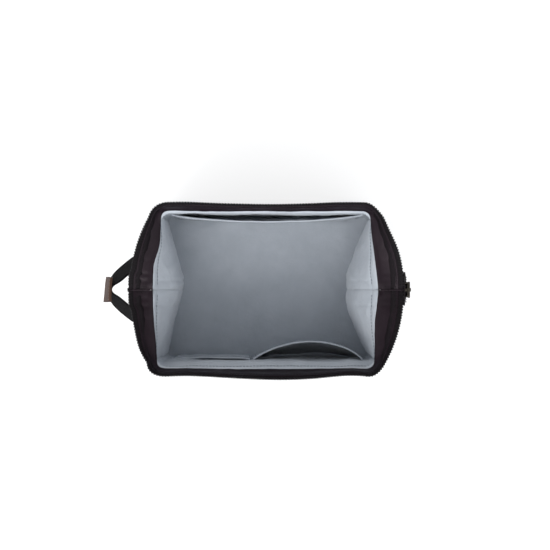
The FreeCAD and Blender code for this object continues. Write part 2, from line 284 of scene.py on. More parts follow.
def stitches(build, line, normal, pitch=3.1 * MM, r=0.3 * MM):
    """A row of thread stitches, in the piece's second material, that stand a little proud along a line."""
    pts, nrm = resample(line, pitch, (np.broadcast_to(normal, np.shape(line)).astype(float),))
    mid = (pts[1:] + pts[:-1]) / 2
    d = unit(pts[1:] - pts[:-1])
    n = unit((nrm[1:] + nrm[:-1]) / 2)
    n = unit(n - d * (n * d).sum(1, keepdims=True))
    b = np.cross(d, n)
    half = pitch * STITCH_SHARE / 2
    verts = []
    for along, fat, up in STITCH_RINGS:
        for k in range(STITCH_SIDES):
            a = 2 * math.pi * k / STITCH_SIDES
            across = n * r * (up + fat * math.sin(a)) + b * r * 1.15 * fat * math.cos(a)
            verts.append(mid + d * half * along + across)
    faces = prism_faces(len(STITCH_RINGS), STITCH_SIDES)
    build.solid(np.stack(verts, 1), repeated(faces, len(verts), len(mid)), 1)


def tube(build, line, radius, sides=12, squeeze=1.0, up=(0, 0, 1)):
    """A round tube along a line, with closed ends."""
    line, up = np.asarray(line, float), np.asarray(up, float)
    d = unit(np.gradient(line, axis=0))
    n = unit(up - d * (up * d).sum(1, keepdims=True))
    b = np.cross(d, n)
    a = np.linspace(0, 2 * math.pi, sides, endpoint=False)[None, :, None]
    pts = line[:, None] + radius * (n[:, None] * np.sin(a) * squeeze + b[:, None] * np.cos(a))
    build.grid(pts, close=True)
    build.solid(pts[0], [list(range(sides))])
    build.solid(pts[-1][::-1], [list(range(sides))])


# ------------------------------------------------------------------ node materials
class Nodes:
    """Short calls for a material's node tree."""

    def __init__(self, name, roughness=0.7, specular=0.4, **principled):
        self.mat = bpy.data.materials.new(name)
        self.mat.use_nodes = True
        self.tree = self.mat.node_tree
        self.shader = next(n for n in self.tree.nodes if n.type == "BSDF_PRINCIPLED")
        self.shader.inputs["Roughness"].default_value = roughness
        self.shader.inputs["Specular IOR Level"].default_value = specular
        for key, value in principled.items():
            self.shader.inputs[key.replace("_", " ")].default_value = value

    def new(self, kind, props=None, **inputs):
        node = self.tree.nodes.new("ShaderNode" + kind)
        for key, value in (props or {}).items():
            setattr(node, key, value)
        for key, value in inputs.items():
            name = key.replace("_", " ")
            target = node.inputs[int(name[1:]) if name[1:].isdigit() else name]
            if isinstance(value, bpy.types.NodeSocket):
                self.tree.links.new(value, target)
            else:
                target.default_value = value
        return node

    def math(self, op, a, b=0.0, c=0.0, clamp=False):
        node = self.new("Math", {"operation": op, "use_clamp": clamp}, i0=a, i1=b, i2=c)
        return node.outputs[0]

    def ramp(self, value, *stops):
        """A colour ramp between two stops of position and colour."""
        node = self.new("ValToRGB", None, Fac=value)
        for e, (at, colour) in zip(node.color_ramp.elements, stops):
            e.position, e.color = at, (*colour, 1)
        return node.outputs["Color"]

    def worn(self, colour, start, end, share, shade):
        """Mixes a shade into the colour on sharp convex edges."""
        edge = self.ramp(self.new("NewGeometry").outputs["Pointiness"], (start, (0, 0, 0)), (end, (1, 1, 1)))
        share = self.math("MULTIPLY", edge, share)
        return self.new("Mix", {"data_type": "RGBA"}, i0=share, i6=colour, i7=(*shade, 1)).outputs[2]

    def noise(self, vector, scale, detail=4.0, rough=0.55):
        node = self.new("TexNoise", None, Vector=vector, Scale=scale, Detail=detail, Roughness=rough)
        return node.outputs["Fac"]

    def stretched(self, vector, *scale):
        return self.new("Mapping", None, Vector=vector, Scale=scale).outputs[0]

    def wave(self, value, times=np.pi):
        return self.math("ABSOLUTE", self.math("SINE", self.math("MULTIPLY", value, times)))

    def scaled(self, value, by, plus, clamp=False):
        """value * by + plus."""
        return self.math("ADD", self.math("MULTIPLY", value, by), plus, clamp=clamp)

    def cloth(self):
        """UVs in millimetres."""
        uv = self.new("UVMap", {"uv_map": "cloth"}).outputs[0]
        return self.new("VectorMath", {"operation": "SCALE"}, i0=uv, Scale=1000.0).outputs[0]

    def place(self):
        return self.new("TexCoord").outputs["Object"]

    def weave(self, uv, pitch):
        """Height of a plain weave with that yarn pitch in millimetres."""
        yarns = self.new("VectorMath", {"operation": "SCALE"}, i0=uv, Scale=1 / pitch).outputs[0]
        part = self.new("SeparateXYZ", None, Vector=yarns)
        sx, sy = self.wave(part.outputs[0]), self.wave(part.outputs[1])
        black_white = {"Color1": (1, 1, 1, 1), "Color2": (0, 0, 0, 1)}
        check = self.new("TexChecker", None, Vector=yarns, Scale=1.0, **black_white).outputs["Fac"]
        other = self.math("SUBTRACT", 1.0, check)
        warp = self.math("MULTIPLY", self.math("MULTIPLY", sx, check), self.math("POWER", sy, 0.5))
        weft = self.math("MULTIPLY", self.math("MULTIPLY", sy, other), self.math("POWER", sx, 0.5))
        return self.math("ADD", warp, weft)

    def bump(self, height, distance, strength=1.0, normal=None):
        node = self.new("Bump", None, Height=height, Distance=distance, Strength=strength)
        if normal is not None:
            self.tree.links.new(normal, node.inputs["Normal"])
        return node.outputs["Normal"]

    def finish(self, colour=None, roughness=None, normal=None):
        for key, value in (("Base Color", colour), ("Roughness", roughness), ("Normal", normal)):
            if value is not None:
                self.tree.links.new(value, self.shader.inputs[key])
        return self.mat


def linear(hexcode):
    value = [int(hexcode[i : i + 2], 16) / 255 for i in (1, 3, 5)]
    return tuple(c / 12.92 if c < 0.04045 else ((c + 0.055) / 1.055) ** 2.4 for c in value)


def fabric(name, dark, light, pitch, rough, sheen, specular, crumple, depth, tint=(1, 1, 1)):
    """Woven cloth: yarns at a true pitch, cloudy colour, small crumples."""
    n = Nodes(name, specular=specular, Sheen_Weight=sheen, Sheen_Roughness=0.45, Specular_Tint=(*tint, 1))
    uv, place = n.cloth(), n.place()
    yarn = n.weave(uv, pitch)
    cloud = n.noise(place, 28.0, 5.0, 0.6)
    slub = n.noise(n.stretched(uv, 0.35, 2.2, 1.0), 1.0, 3.0, 0.6)
    tone = n.scaled(cloud, 0.55, n.math("MULTIPLY", slub, 0.2))
    tone = n.math("ADD", tone, n.math("MULTIPLY", yarn, 0.22), clamp=True)
    colour = n.ramp(tone, (0.25, linear(dark)), (0.75, linear(light)))
    roughness = n.scaled(cloud, rough[1] - rough[0], rough[0])
    folds = n.bump(n.noise(place, 70.0, 4.0, 0.55), 2.2 * MM, crumple)
    return n.finish(colour, roughness, n.bump(yarn, depth * MM, 0.8, folds))


PLUM_SHINE = (1.0, 0.91, 0.97)
OUTER = fabric("outer_cloth", "#0f0a0d", "#1d151a", 0.6, (0.36, 0.48), 0.0, 0.12, 0.15, 0.035, PLUM_SHINE)
COLLAR = fabric("collar_cloth", "#110c0f", "#231920", 0.6, (0.3, 0.42), 0.0, 0.14, 0.1, 0.03, PLUM_SHINE)
LINING = fabric("lining_cloth", "#a2a8b0", "#bdc2c9", 0.4, (0.48, 0.68), 0.18, 0.45, 0.4, 0.03)
TAPE = fabric("zip_tape_cloth", "#110e10", "#201b1f", 0.75, (0.55, 0.75), 0.0, 0.08, 0.1, 0.12)


def thread(name, dark, light):
    n = Nodes(name, roughness=0.6, specular=0.15)
    bands = {"wave_type": "BANDS", "bands_direction": "DIAGONAL"}
    twist = n.new("TexWave", bands, Vector=n.place(), Scale=900.0, Distortion=1.5).outputs["Fac"]
    colour = n.ramp(twist, (0.2, linear(dark)), (0.9, linear(light)))
    return n.finish(colour, n.scaled(twist, 0.2, 0.5), n.bump(twist, 0.2 * MM, 0.5))


BLACK_THREAD = thread("black_thread", "#0d0b0d", "#1c181c")
GREY_THREAD = thread("grey_thread", "#5f666e", "#868d95")
TAN_THREAD = thread("tan_thread", "#5a4a42", "#8a7466")


def webbing_material():
    n = Nodes("loop_webbing_weave", specular=0.06)
    part = n.new("SeparateXYZ", None, Vector=n.cloth())
    rib, yarn = n.wave(part.outputs[0], math.pi / 1.4), n.wave(part.outputs[1], math.pi / 0.8)
    height = n.scaled(rib, 0.8, n.math("MULTIPLY", yarn, 0.35))
    cloud = n.noise(n.place(), 90.0)
    tone = n.scaled(height, 0.6, n.math("MULTIPLY", cloud, 0.4), clamp=True)
    colour = n.ramp(tone, (0.15, linear("#050506")), (0.95, linear("#121113")))
    return n.finish(colour, n.scaled(cloud, 0.25, 0.5), n.bump(height, 0.35 * MM, 0.9))


def leather_material(name, dark, light):
    n = Nodes(name, specular=0.16)
    place = n.place()
    cells = n.new("TexVoronoi", {"feature": "F1"}, Vector=place, Scale=1100.0, Randomness=1.0)
    pores, cloud = n.noise(place, 420.0, 6.0, 0.6), n.noise(place, 45.0, 5.0, 0.6)
    tone = n.scaled(cloud, 0.75, n.math("MULTIPLY", pores, 0.25), clamp=True)
    colour = n.ramp(tone, (0.3, linear(dark)), (0.7, linear(light)))
    colour = n.worn(colour, 0.50, 0.56, 0.35, linear("#655246"))
    height = n.scaled(cells.outputs["Distance"], 0.7, n.math("MULTIPLY", pores, 0.5))
    return n.finish(colour, n.scaled(pores, 0.25, 0.42), n.bump(height, 0.25 * MM, 0.7))


def metal_material():
    n = Nodes("gunmetal", specular=0.5, Metallic=1.0)
    place = n.place()
    cloud = n.noise(place, 160.0, 5.0, 0.6)
    scratch = n.noise(n.stretched(place, 1.0, 1.0, 12.0), 500.0, 3.0, 0.5)
    colour = n.ramp(cloud, (0.3, linear("#24221f")), (0.75, linear("#3b3833")))
    colour = n.worn(colour, 0.52, 0.62, 0.5, linear("#7d7769"))
    return n.finish(colour, n.scaled(scratch, 0.25, 0.24), n.bump(scratch, 0.05 * MM, 0.35))


def plastic_material(name, dark, light, rough=0.38, specular=0.5):
    n = Nodes(name, specular=specular)
    cloud, fine = n.noise(n.place(), 240.0, 4.0, 0.5), n.noise(n.place(), 2600.0, 2.0, 0.5)
    colour = n.ramp(cloud, (0.3, linear(dark)), (0.7, linear(light)))
    return n.finish(colour, n.scaled(cloud, 0.18, rough), n.bump(fine, 0.03 * MM, 0.4))


WEBBING = webbing_material()
LEATHER = leather_material("grip_leather_taupe", "#301d16", "#452c23")
METAL, STEEL = metal_material(), metal_material()
TEETH = plastic_material("teeth_plastic", "#090809", "#141214", 0.5, 0.12)
HIDDEN_PLASTIC = plastic_material("cap_plastic_moulded", "#2a2a2a", "#3a3a3a")


# ------------------------------------------------------------------ columns round one half of the mouth
LEG_N, BEND_N, LONG_N = 44, 14, 120
NEAR = 0.3 * MM


def columns():
    """Share along the leg, angle in the bend, place along the long side, and end, of every column."""
    leg = np.linspace(0, 1, LEG_N + 1)
    bend = np.linspace(0, 1, BEND_N + 1)[1:]
    run = np.linspace(1, -1, LONG_N + 1)[1:]
    legs = np.concatenate([leg, np.ones(BEND_N + LONG_N + BEND_N), leg[::-1][1:]])
    phi = np.concatenate([0 * leg, bend, np.ones(LONG_N), bend[::-1][1:], [0], 0 * leg[1:]]) * math.pi / 2
    xs = np.concatenate([np.ones(LEG_N + 1 + BEND_N), run, -np.ones(BEND_N + LEG_N)])
    sign = np.where(np.arange(len(xs)) <= LEG_N + BEND_N + LONG_N // 2, 1.0, -1.0)
    return legs, phi, xs, sign


LEGS, PHI, XS, SIGN = columns()
COLS = len(XS)


def plan(a, b, r, near=NEAR):
    """x and |y| of every column on a rounded rectangle of half sizes a, b and corner radius r."""
    x = XS * (a - r) + SIGN * r * np.cos(PHI)
    y = near + LEGS * (b - r - near) + r * np.sin(PHI)
    return np.broadcast_arrays(x, y)


def end_bow(x, y, reach=1.0):
    """How far each end of the mouth bows out in x, at signed y."""
    left = -6.2 * smooth((54 * MM - y) / (32 * MM)) * (1 - 0.3 * smooth((-y - 25 * MM) / (45 * MM))) + 0.6
    right = 3.1 * bump_at(y, 0, 26 * MM) - 0.9 - 2.6 * smooth((y - 30 * MM) / (45 * MM))
    right = right + 1.6 * smooth((-y - 30 * MM) / (35 * MM))
    return np.where(x < 0, left, right) * smooth((np.abs(x) - 95 * MM) / (16 * MM)) * reach * MM


def zip_line(side):
    """x, |y| and z of the zip's edge for every column."""
    arc_end = WIRE_Y - WIRE_BEND + 6 * MM
    centre = ZIP_X - ARC

    def arc_x(y):
        return centre + np.sqrt(ARC**2 - y**2)

    y = NEAR + LEGS * (arc_end - NEAR)
    x = arc_x(y)
    s = PHI / (math.pi / 2)
    start, end = (arc_x(arc_end), arc_end), (WIRE_X - WIRE_BEND, ZIP_Y)
    reach = np.where(SIGN < 0, 11, 1) if side < 0 else np.where(SIGN < 0, 5, -3)
    knee = (arc_x(ZIP_Y) + reach * MM, ZIP_Y + np.where((SIGN > 0) & (side < 0), 2.5, 0.5) * MM)
    bx, by = ((1 - s) ** 2 * p + 2 * s * (1 - s) * q + s * s * r for p, q, r in zip(start, knee, end))
    bent = LEGS >= 1
    x, y = np.where(bent, bx, x), np.where(bent, by, y)
    run = (PHI > math.pi / 2 - 0.0001) & (np.abs(XS) < 1)
    x = np.where(run, XS * (WIRE_X - WIRE_BEND), SIGN * x)
    # the cloth's edge wanders along the long sides
    lean = 0 * x
    along = smooth((np.abs(y) - 70 * MM) / (18 * MM))
    if side < 0:
        wander = ((2.3, 14, 46), (-2.4, 86, 26), (-1.9, -84, 34))
    else:
        wander = ((-1.0, 0, 75), (0.9, -86, 24), (0.7, 78, 26), (-0.9, 5, 48))
    for size, at, width in wander:
        lean += size * bump_at(x, at * MM, width * MM)
    y = y + lean * MM * along
    x = x - 2.2 * MM * smooth((23 * MM - y) / (8 * MM)) * (SIGN < 0)  # blunt at the loop's end
    if side > 0:
        shape = -2.6 * bump_at(y, 66 * MM, 20 * MM) * (SIGN > 0)
    else:
        shape = 2.4 * bump_at(y, 64 * MM, 18 * MM) * (SIGN < 0)
    x = x + SIGN * shape * MM * (PHI < 1.5)
    z = RIM_Z + y * SLOPE - EDGE_SINK
    return x, y, z


class Half:
    """Stations along one half of the mouth: wire point, zip point, directions across and facing."""

    def __init__(self, side):
        self.side = side
        self.name = "front" if side < 0 else "back"
        x, y = plan(WIRE_X, WIRE_Y, WIRE_BEND)
        x = x + end_bow(x, side * y)
        self.P = np.stack([x, side * y, np.full(COLS, WIRE_Z)], 1)
        qx, qy, qz = zip_line(side)
        self.Q = np.stack([qx, side * qy, qz], 1)
        t = unit(np.gradient(self.P, axis=0)) + unit(np.gradient(self.Q, axis=0))
        self.W = np.linalg.norm(self.Q - self.P, axis=1)
        self.u = unit(self.Q - self.P)
        n = unit(np.cross(t, self.u))
        self.n = n * np.sign(n[:, 2:3])
        self.rise = 0.38 + 0.62 * smooth((y - 1.5 * MM) / (6 * MM))
        self.r = TUBE_R * self.rise

    def at(self, a, h):
        """The point a across from the wire and h towards the facing side, for every column."""
        a, h = (np.broadcast_to(v, (COLS,))[:, None] for v in (a, h))
        return self.P + self.u * a + self.n * h


HALVES = [Half(-1), Half(1)]


def wing_shape(half, a):
    """How far the collar's cloth stands off its flat shape."""
    p = half.at(a, 0)
    y = np.abs(p[:, 1])
    body = smooth(a / (6 * MM)) * smooth((half.W - TAPE_SHOWS - a + 1 * MM) / (4 * MM))
    end = smooth((np.abs(p[:, 0]) - 104 * MM) / (12 * MM))
    d = 0.75 * waves(p, (26 * MM, 34 * MM, 26 * MM), 3 + half.side) * MM
    share = np.clip(a / half.W, 0, 1)
    sag = -0.9 * MM * np.sin(math.pi * share) * end
    soft = 0.45 * MM * np.sin(share * 9 + 2.5 * waves(p, (60 * MM, 60 * MM, 60 * MM), 21)) * end
    fold = 0
    for at, deep in ((9.5, 0.35), (17.0, 0.45), (31.0, 0.2)):
        wander = 1.5 * MM * waves(p, (14 * MM,) * 3, 31)
        line = bump_at(y + wander, at * MM, 1.5 * MM)
        fold = fold - deep * MM * line * end * np.where(half.P[:, 0] < 0, 1.0, 0.45)
    run = (1 - end) * 0.8 * MM * waves(p, (55 * MM, 300 * MM, 40 * MM), 13 + half.side)
    return body * (d + sag + soft + fold + run)


def cloth_edge(half):
    """How far past the wire the pale lining reaches before the dark collar starts."""
    long_side = np.sin(PHI) ** 2
    corner = np.sin(2 * PHI) ** 2
    wander = 0.45 * waves(half.P, (12 * MM,) * 3, 8)
    return (long_side * 5.0 - 0.2 + 2.4 * corner + wander) * MM


def top_height(half, a):
    """Height of the cloth over the wire and the flat collar."""
    across = (-3, -2.6, -1.8, -0.7, 0.35, 1.5, 2.6, 3.7, 5, 7, 9)
    height = (0, 1.5, 2.45, 2.95, 3.08, 2.85, 2.38, 1.9, 1.58, 1.35, 1.3)
    h = np.interp(a / MM, across, height) * MM
    return h * (half.rise + (1 - half.rise) * smooth((a - 2 * MM) / (4 * MM)))


def collar(half):
    """The dark collar: a folded cloth that covers the wire's channel and takes the zip tape in its hem."""
    W = half.W
    hem, edge = W - TAPE_SHOWS, cloth_edge(half)
    rows = []
    rolled = (0.9, -0.3, -0.72, -0.62, -0.1, 0.8, 2.0, 3.2)
    for a, lift in zip(rolled, (-0.35, -0.2, 0.05, 0.42, 0.6, 0.58, 0.46, 0.3)):
        a = edge + a * MM
        rows.append((a, top_height(half, a) + lift * MM))
    start = edge + 4.4 * MM
    for s in np.linspace(0, 1, 14)[:-1]:
        a = start + (hem - 1.4 * MM - start) * s
        rows.append((a, top_height(half, a) + 0.15 * (1 - s) * MM))
    turned = [(-1.0, 1.2), (-0.35, 1.08), (-0.08, 0.8), (0.0, 0.42)]
    for a, h in turned + [(a, -h) for a, h in turned[::-1]]:
        rows.append((hem + a * MM, np.full(COLS, h * MM)))
    for s in np.linspace(0, 1, 13)[1:][::-1]:
        rows.append((5 * MM + (hem - 1.4 * MM - 5 * MM) * s, np.full(COLS, -1.3 * MM)))
    for a, h in ((5.0, 1.6), (3.7, 1.92), (2.6, 2.42), (1.5, 2.92), (0.9, 3.1), (0.0, 3.05)):
        rows.append((np.full(COLS, a * MM), -h * MM * half.rise))
    pts = np.array([half.at(a, h + wing_shape(half, a)) for a, h in rows])
    build = Build().grid(pts, 0, flip=half.side > 0)
    for a, up in ((hem - 1.9 * MM, 1.28), (hem - 4.1 * MM, 1.32)):
        for s in (1, -1):
            line = half.at(a, s * up * MM + wing_shape(half, a))
            stitches(build, line[3:-3], s * half.n[3:-3], pitch=3.0 * MM)
    across = np.outer(np.linspace(0.3, 1, 40), hem - 2 * MM)
    for col in (1, 2, COLS - 3, COLS - 2):  # rows that tie the cloth down beside the end seam
        line = np.array([half.at(a, top_height(half, a) + wing_shape(half, a))[col] for a in across])
        stitches(build, line + half.n[col] * 0.1 * MM, half.n[col], pitch=2.6 * MM, r=0.26 * MM)
    name = half.name
    piece = build.make(f"{name}_collar", [COLLAR, BLACK_THREAD])
    attach(piece, f"{name}_frame", "outer_fabric", f"{name}_collar_outer", f"{name}_collar_facing")


TOOTH_PITCH = 3.0 * MM
TOOTH_SIDE = [(0.0, -0.35), (-0.15, -0.62), (-0.75, -0.86), (-1.25, -0.78), (-1.75, -0.52), (-2.6, -0.5)]
TOOTH_SIDE += [(-3.1, -0.8), (-4.5, -0.84), (-4.75, -0.6)]


def zip_side(half, phase):
    """Tape with its selvage bead, and the moulded teeth on it."""
    W, name = half.W, half.name
    across = [W - a * MM for a in (14, 10, TAPE_SHOWS / MM, 5.2, 4.3, 3.6, 1.7, 0.8)]
    thick = [0.2, 0.22, 0.25, 0.27, 0.45, 0.75, 0.75, 0.35]
    rows = []
    for a, h in zip(across, thick):
        hidden = a[0] < W[0] - TAPE_SHOWS - 0.1 * MM
        rows.append(half.at(a, h * MM + 0.35 * MM * waves(half.at(a, 0), (9 * MM,) * 3, 77) * hidden))
    rows += [half.at(a, -h * MM) for a, h in zip(across[::-1], thick[::-1])]
    tape = Build().grid(rows + rows[:1], flip=half.side > 0).make(f"{name}_zip_tape_woven", [TAPE])
    attach(tape, f"{name}_frame", "zip_tape", f"{name}_zip_tape")

    # teeth: a neck that grips the bead and a wider head
    Q, u, n = resample(half.Q, 0.25 * MM, (half.u, half.n))
    s = run_along(Q)
    due = np.arange(TOOTH_PITCH * (0.9 + phase), s[-1] - TOOTH_PITCH, TOOTH_PITCH)
    at = at_runs(due, s, Q)
    uu, nn = unit(at_runs(due, s, u)), unit(at_runs(due, s, n))
    tt = unit(np.cross(uu, nn))
    outline = TOOTH_SIDE + [(a, -w) for a, w in TOOTH_SIDE[::-1]]
    verts = []
    for scale, h in ((0.84, -1.12), (1.0, -0.86), (1.0, 0.86), (0.84, 1.12)):
        for a, w in outline:
            a = -2.3 + (a + 2.3) * scale
            verts.append(at + uu * a * MM + tt * w * scale * MM + nn * h * MM)
    m = len(outline)
    faces = prism_faces(4, m) + [list(range(m))[::-1], [3 * m + k for k in range(m)]]
    teeth = Build().solid(np.stack(verts, 1), repeated(faces, 4 * m, len(at)))
    teeth = teeth.make(f"{name}_zip_teeth_moulded", [TEETH], flat=True)
    attach(teeth, f"{name}_frame", "zip_teeth", f"{name}_zip_teeth")


# ------------------------------------------------------------------ walls and lining
def gusset_depth(z):
    """How deep the fold of each end lining is at height z."""
    return 27 * MM * np.clip(np.sin(math.pi * (z + 8 * MM) / (186 * MM)), 0, 1)


LEFT_FOLD = 0.76  # the left end is folded in less deep than the right one


def gusset_shape(y, right):
    """How far the end lining is folded in, 0 at its sides to 1, against signed y."""
    if right:
        t = (LINE_Y - np.abs(y + 1 * MM)) / (LINE_Y - 20 * MM)
        top = 1 - np.log1p(np.exp((1 - t) * 9)) / 9
        return np.clip(top, 0, 1) * (1 - 0.06 * bump_at(y, 0, 7 * MM))
    centre = 11 * MM
    t = 1 - np.sqrt((y - centre) ** 2 + (7 * MM) ** 2) / np.where(y > centre, LINE_Y - centre, LINE_Y + centre)
    return np.clip(t * 1.1, 0, 1)


def wall_lean(z):
    """How far the padding holds the front lining in from its wall, below the mouth."""
    return 5.0 * MM * smooth((178 * MM - z) / (36 * MM)) * smooth((z - 3 * MM) / (32 * MM))


def lining_ring(side, z):
    """Plan points of the lining on one half, for every column at height z."""
    corner = (7 + 4 * smooth((z - 150 * MM) / (22 * MM))) * MM
    x, y = plan(LINE_X, LINE_Y, corner, near=0.15 * MM)
    right = x > 0
    leg = (LEGS < 1) | (PHI < 0.01)
    signed = side * y
    x = x + end_bow(x, signed, smooth((z - 110 * MM) / (62 * MM)))
    fold = np.where(right, gusset_shape(signed, True), LEFT_FOLD * gusset_shape(signed, False))
    x = x - np.sign(x) * fold * leg * gusset_depth(z)
    if side < 0:
        signed = signed * (1 - wall_lean(z) / LINE_Y)
    return np.stack([x, signed, np.full(COLS, z)], 1)


def lining_slack(p):
    """How far the lining hangs into the bag, away from its wall."""
    z = p[..., 2]
    free = smooth((z - 6 * MM) / (25 * MM)) * smooth((WALL_TOP + 1 * MM - z) / (16 * MM))
    edge = smooth((WALL_TOP + 2 * MM - z) / (6 * MM)) * smooth((z - 3 * MM) / (6 * MM))
    long_folds = creases(p, (46 * MM, 46 * MM, 80 * MM), 5)
    small = creases(p, (20 * MM, 24 * MM, 26 * MM), 15, 4.0)
    d = free * (1.5 * waves(p, (60 * MM,) * 3, 2) + 1.7 * long_folds)
    d = d + edge * (0.5 * small + 0.2 * waves(p, (12 * MM,) * 3, 6))
    end = smooth((np.abs(p[..., 0]) - 84 * MM) / (10 * MM))
    for at in (9.5, 0.0, -17.0):  # flat creases from being folded
        line = bump_at(p[..., 1] + 1.6 * MM * waves(p, (18 * MM,) * 3, 41), at * MM, 1.3 * MM)
        d = d - 0.75 * line * end
    d = d - 0.7 * bump_at(z, SEAM_Z, 1.5 * MM)
    return d * MM + 0.4 * MM


def away_from_middle(pts):
    """Normals of a ring's rows that point outwards and are nearly level."""
    n = grid_normals(pts, True)
    n *= np.where((n * pts * (1, 1, 0)).sum(-1, keepdims=True) > 0, 1, -1)
    n[..., 2] *= 0.3
    return n


def push_in(pts):
    """Moves lining points off their wall."""
    return pts - away_from_middle(pts) * lining_slack(pts)[..., None]


def rings(maker, heights):
    """Rows that run right round the bag at those heights."""
    return np.array([np.concatenate([maker(-1, z), maker(1, z)[::-1]]) for z in heights])


def half_rows(half, rows):
    """The part of whole rings that belongs to one half."""
    return rows[:, :COLS] if half.side < 0 else rows[:, COLS:][:, ::-1]


def lining_pieces():
    heights = np.concatenate([np.arange(3.6, 120, 2.6) * MM, [SPLIT_Z]])
    ring = push_in(rings(lining_ring, heights))
    high = np.linspace(SPLIT_Z, WALL_TOP, 35)
    upper = push_in(rings(lining_ring, high))
    ring[-1] = upper[0]
    lower = Build().grid(ring, close=True).make("lining_lower", [LINING])
    nodes = ("left_gusset_lining", "right_gusset_lining", "front_lining", "back_lining")
    attach(lower, "bag_body", "lining_fabric", *nodes)
    flattens(lower)

    for half in HALVES:
        rows = half_rows(half, upper)
        # up from the wall, round the wire on its inner side, to the edge of the collar
        wraps = []
        for a in np.radians((252, 232, 212, 192, 172, 152, 132, 114, 100)):
            wraps.append((half.r * math.cos(a), half.r * math.sin(a)))
        reach = cloth_edge(half) + 0.6 * MM
        for share in np.linspace(0, 1, 9)[1:]:
            a = -0.5 * MM * (1 - share) + reach * share
            wraps.append((a, top_height(half, a) - 0.06 * MM))
        wraps = np.array([half.at(a, h + wing_shape(half, a)) for a, h in wraps])
        pinch = np.abs(waves(wraps, (5 * MM, 5 * MM, 9 * MM), 51, 2)) * 0.35 * MM
        wraps = wraps - half.n * pinch[..., None]
        last, first = rows[-2], wraps[0]
        sink = half.n * 0.5 * MM
        bridge = [last * (1 - s) + first * s - sink * math.sin(math.pi * s) for s in (0.35, 0.7)]
        build = Build().grid([*rows[:-1], *bridge, *wraps], flip=half.side > 0)
        seam = rows[int(np.argmin(np.abs(high - SEAM_Z)))]
        inward = (-np.sign(seam[:, 0]) * np.cos(PHI) ** 2, -half.side * np.sin(PHI) ** 2, 0.5 + 0 * PHI)
        inward = np.stack(inward, 1)[3:-3]
        stitches(build, seam[3:-3] + inward * 0.25 * MM, inward, pitch=3.6 * MM, r=0.36 * MM)
        piece = build.make(f"{half.name}_lining_upper", [LINING, GREY_THREAD])
        bends(piece)
        stands_for(piece, "lining_fabric", f"{half.name}_wire_channel")


def outer_ring(side, z):
    """Plan points of the outer cloth on one half."""
    inset = 2.8 * MM * np.clip(1 - z / (5 * MM), 0, 1) ** 2
    x, y = plan(BODY_X - inset, BODY_Y - inset, 13 * MM, near=0.15 * MM)
    x = x + end_bow(x, side * y, 0.8 * smooth((z - 95 * MM) / (78 * MM)))
    return np.stack([x, side * y, np.full(COLS, z)], 1)


def wall_swell(p):
    """How the padded walls stand out or in from flat."""
    x, y, z = p[..., 0], p[..., 1], p[..., 2]
    up = np.sin(math.pi * np.clip(z / WALL_TOP, 0, 1)) ** 0.8
    long_wall = smooth((np.abs(y) - 70 * MM) / (16 * MM))
    slump = up * (1 + 0.35 * np.sin(math.pi * 2 * np.clip(z / WALL_TOP, 0, 1)))
    belly = long_wall * np.clip(1 - (x / (112 * MM)) ** 2, 0, 1) * 4.2
    belly = belly - (1 - long_wall) * np.clip(1 - (y / (80 * MM)) ** 2, 0, 1) * 2.4
    free = smooth((z - 5 * MM) / (16 * MM)) * smooth((WALL_TOP - z) / (8 * MM))
    dents = 2.3 * waves(p, (85 * MM, 85 * MM, 60 * MM), 12) + 0.8 * waves(p, (24 * MM, 24 * MM, 30 * MM), 14)
    d = slump * belly + free * dents
    # tucks that run down from the mouth, deepest near each corner, and slanting drags above the foot
    corner = bump_at(np.abs(x), 112 * MM, 20 * MM) * bump_at(np.abs(y), 82 * MM, 20 * MM)
    tuck = creases(p + (0, 0, 0.02), (20 * MM, 20 * MM, 110 * MM), 24, 3.0)
    d = d - 1.7 * free * tuck * (0.45 + 0.9 * corner) * smooth((z - 45 * MM) / (90 * MM))
    lean = p + np.stack([0 * z, 0 * z, 0.45 * np.abs(x) + 0.3 * np.abs(y)], -1)
    drag = creases(lean, (80 * MM, 80 * MM, 30 * MM), 29, 4.0)
    d = d - 1.3 * free * drag * smooth((85 * MM - z) / (60 * MM))
    return d * MM


def push_out(pts):
    """Moves outer points out by the swell of the padding, less the grooves of the seams."""
    z = pts[..., 2]
    groove = bump_at(z, 8.5 * MM, 0.9 * MM) * 0.55 * MM
    end_seam = (np.abs(pts[..., 0]) > 100 * MM) * bump_at(pts[..., 1], 0, 1.2 * MM)
    end_seam = end_seam * smooth((z - 8 * MM) / (4 * MM)) * 0.5 * MM
    return pts + away_from_middle(pts) * (wall_swell(pts) - groove - end_seam)[..., None]


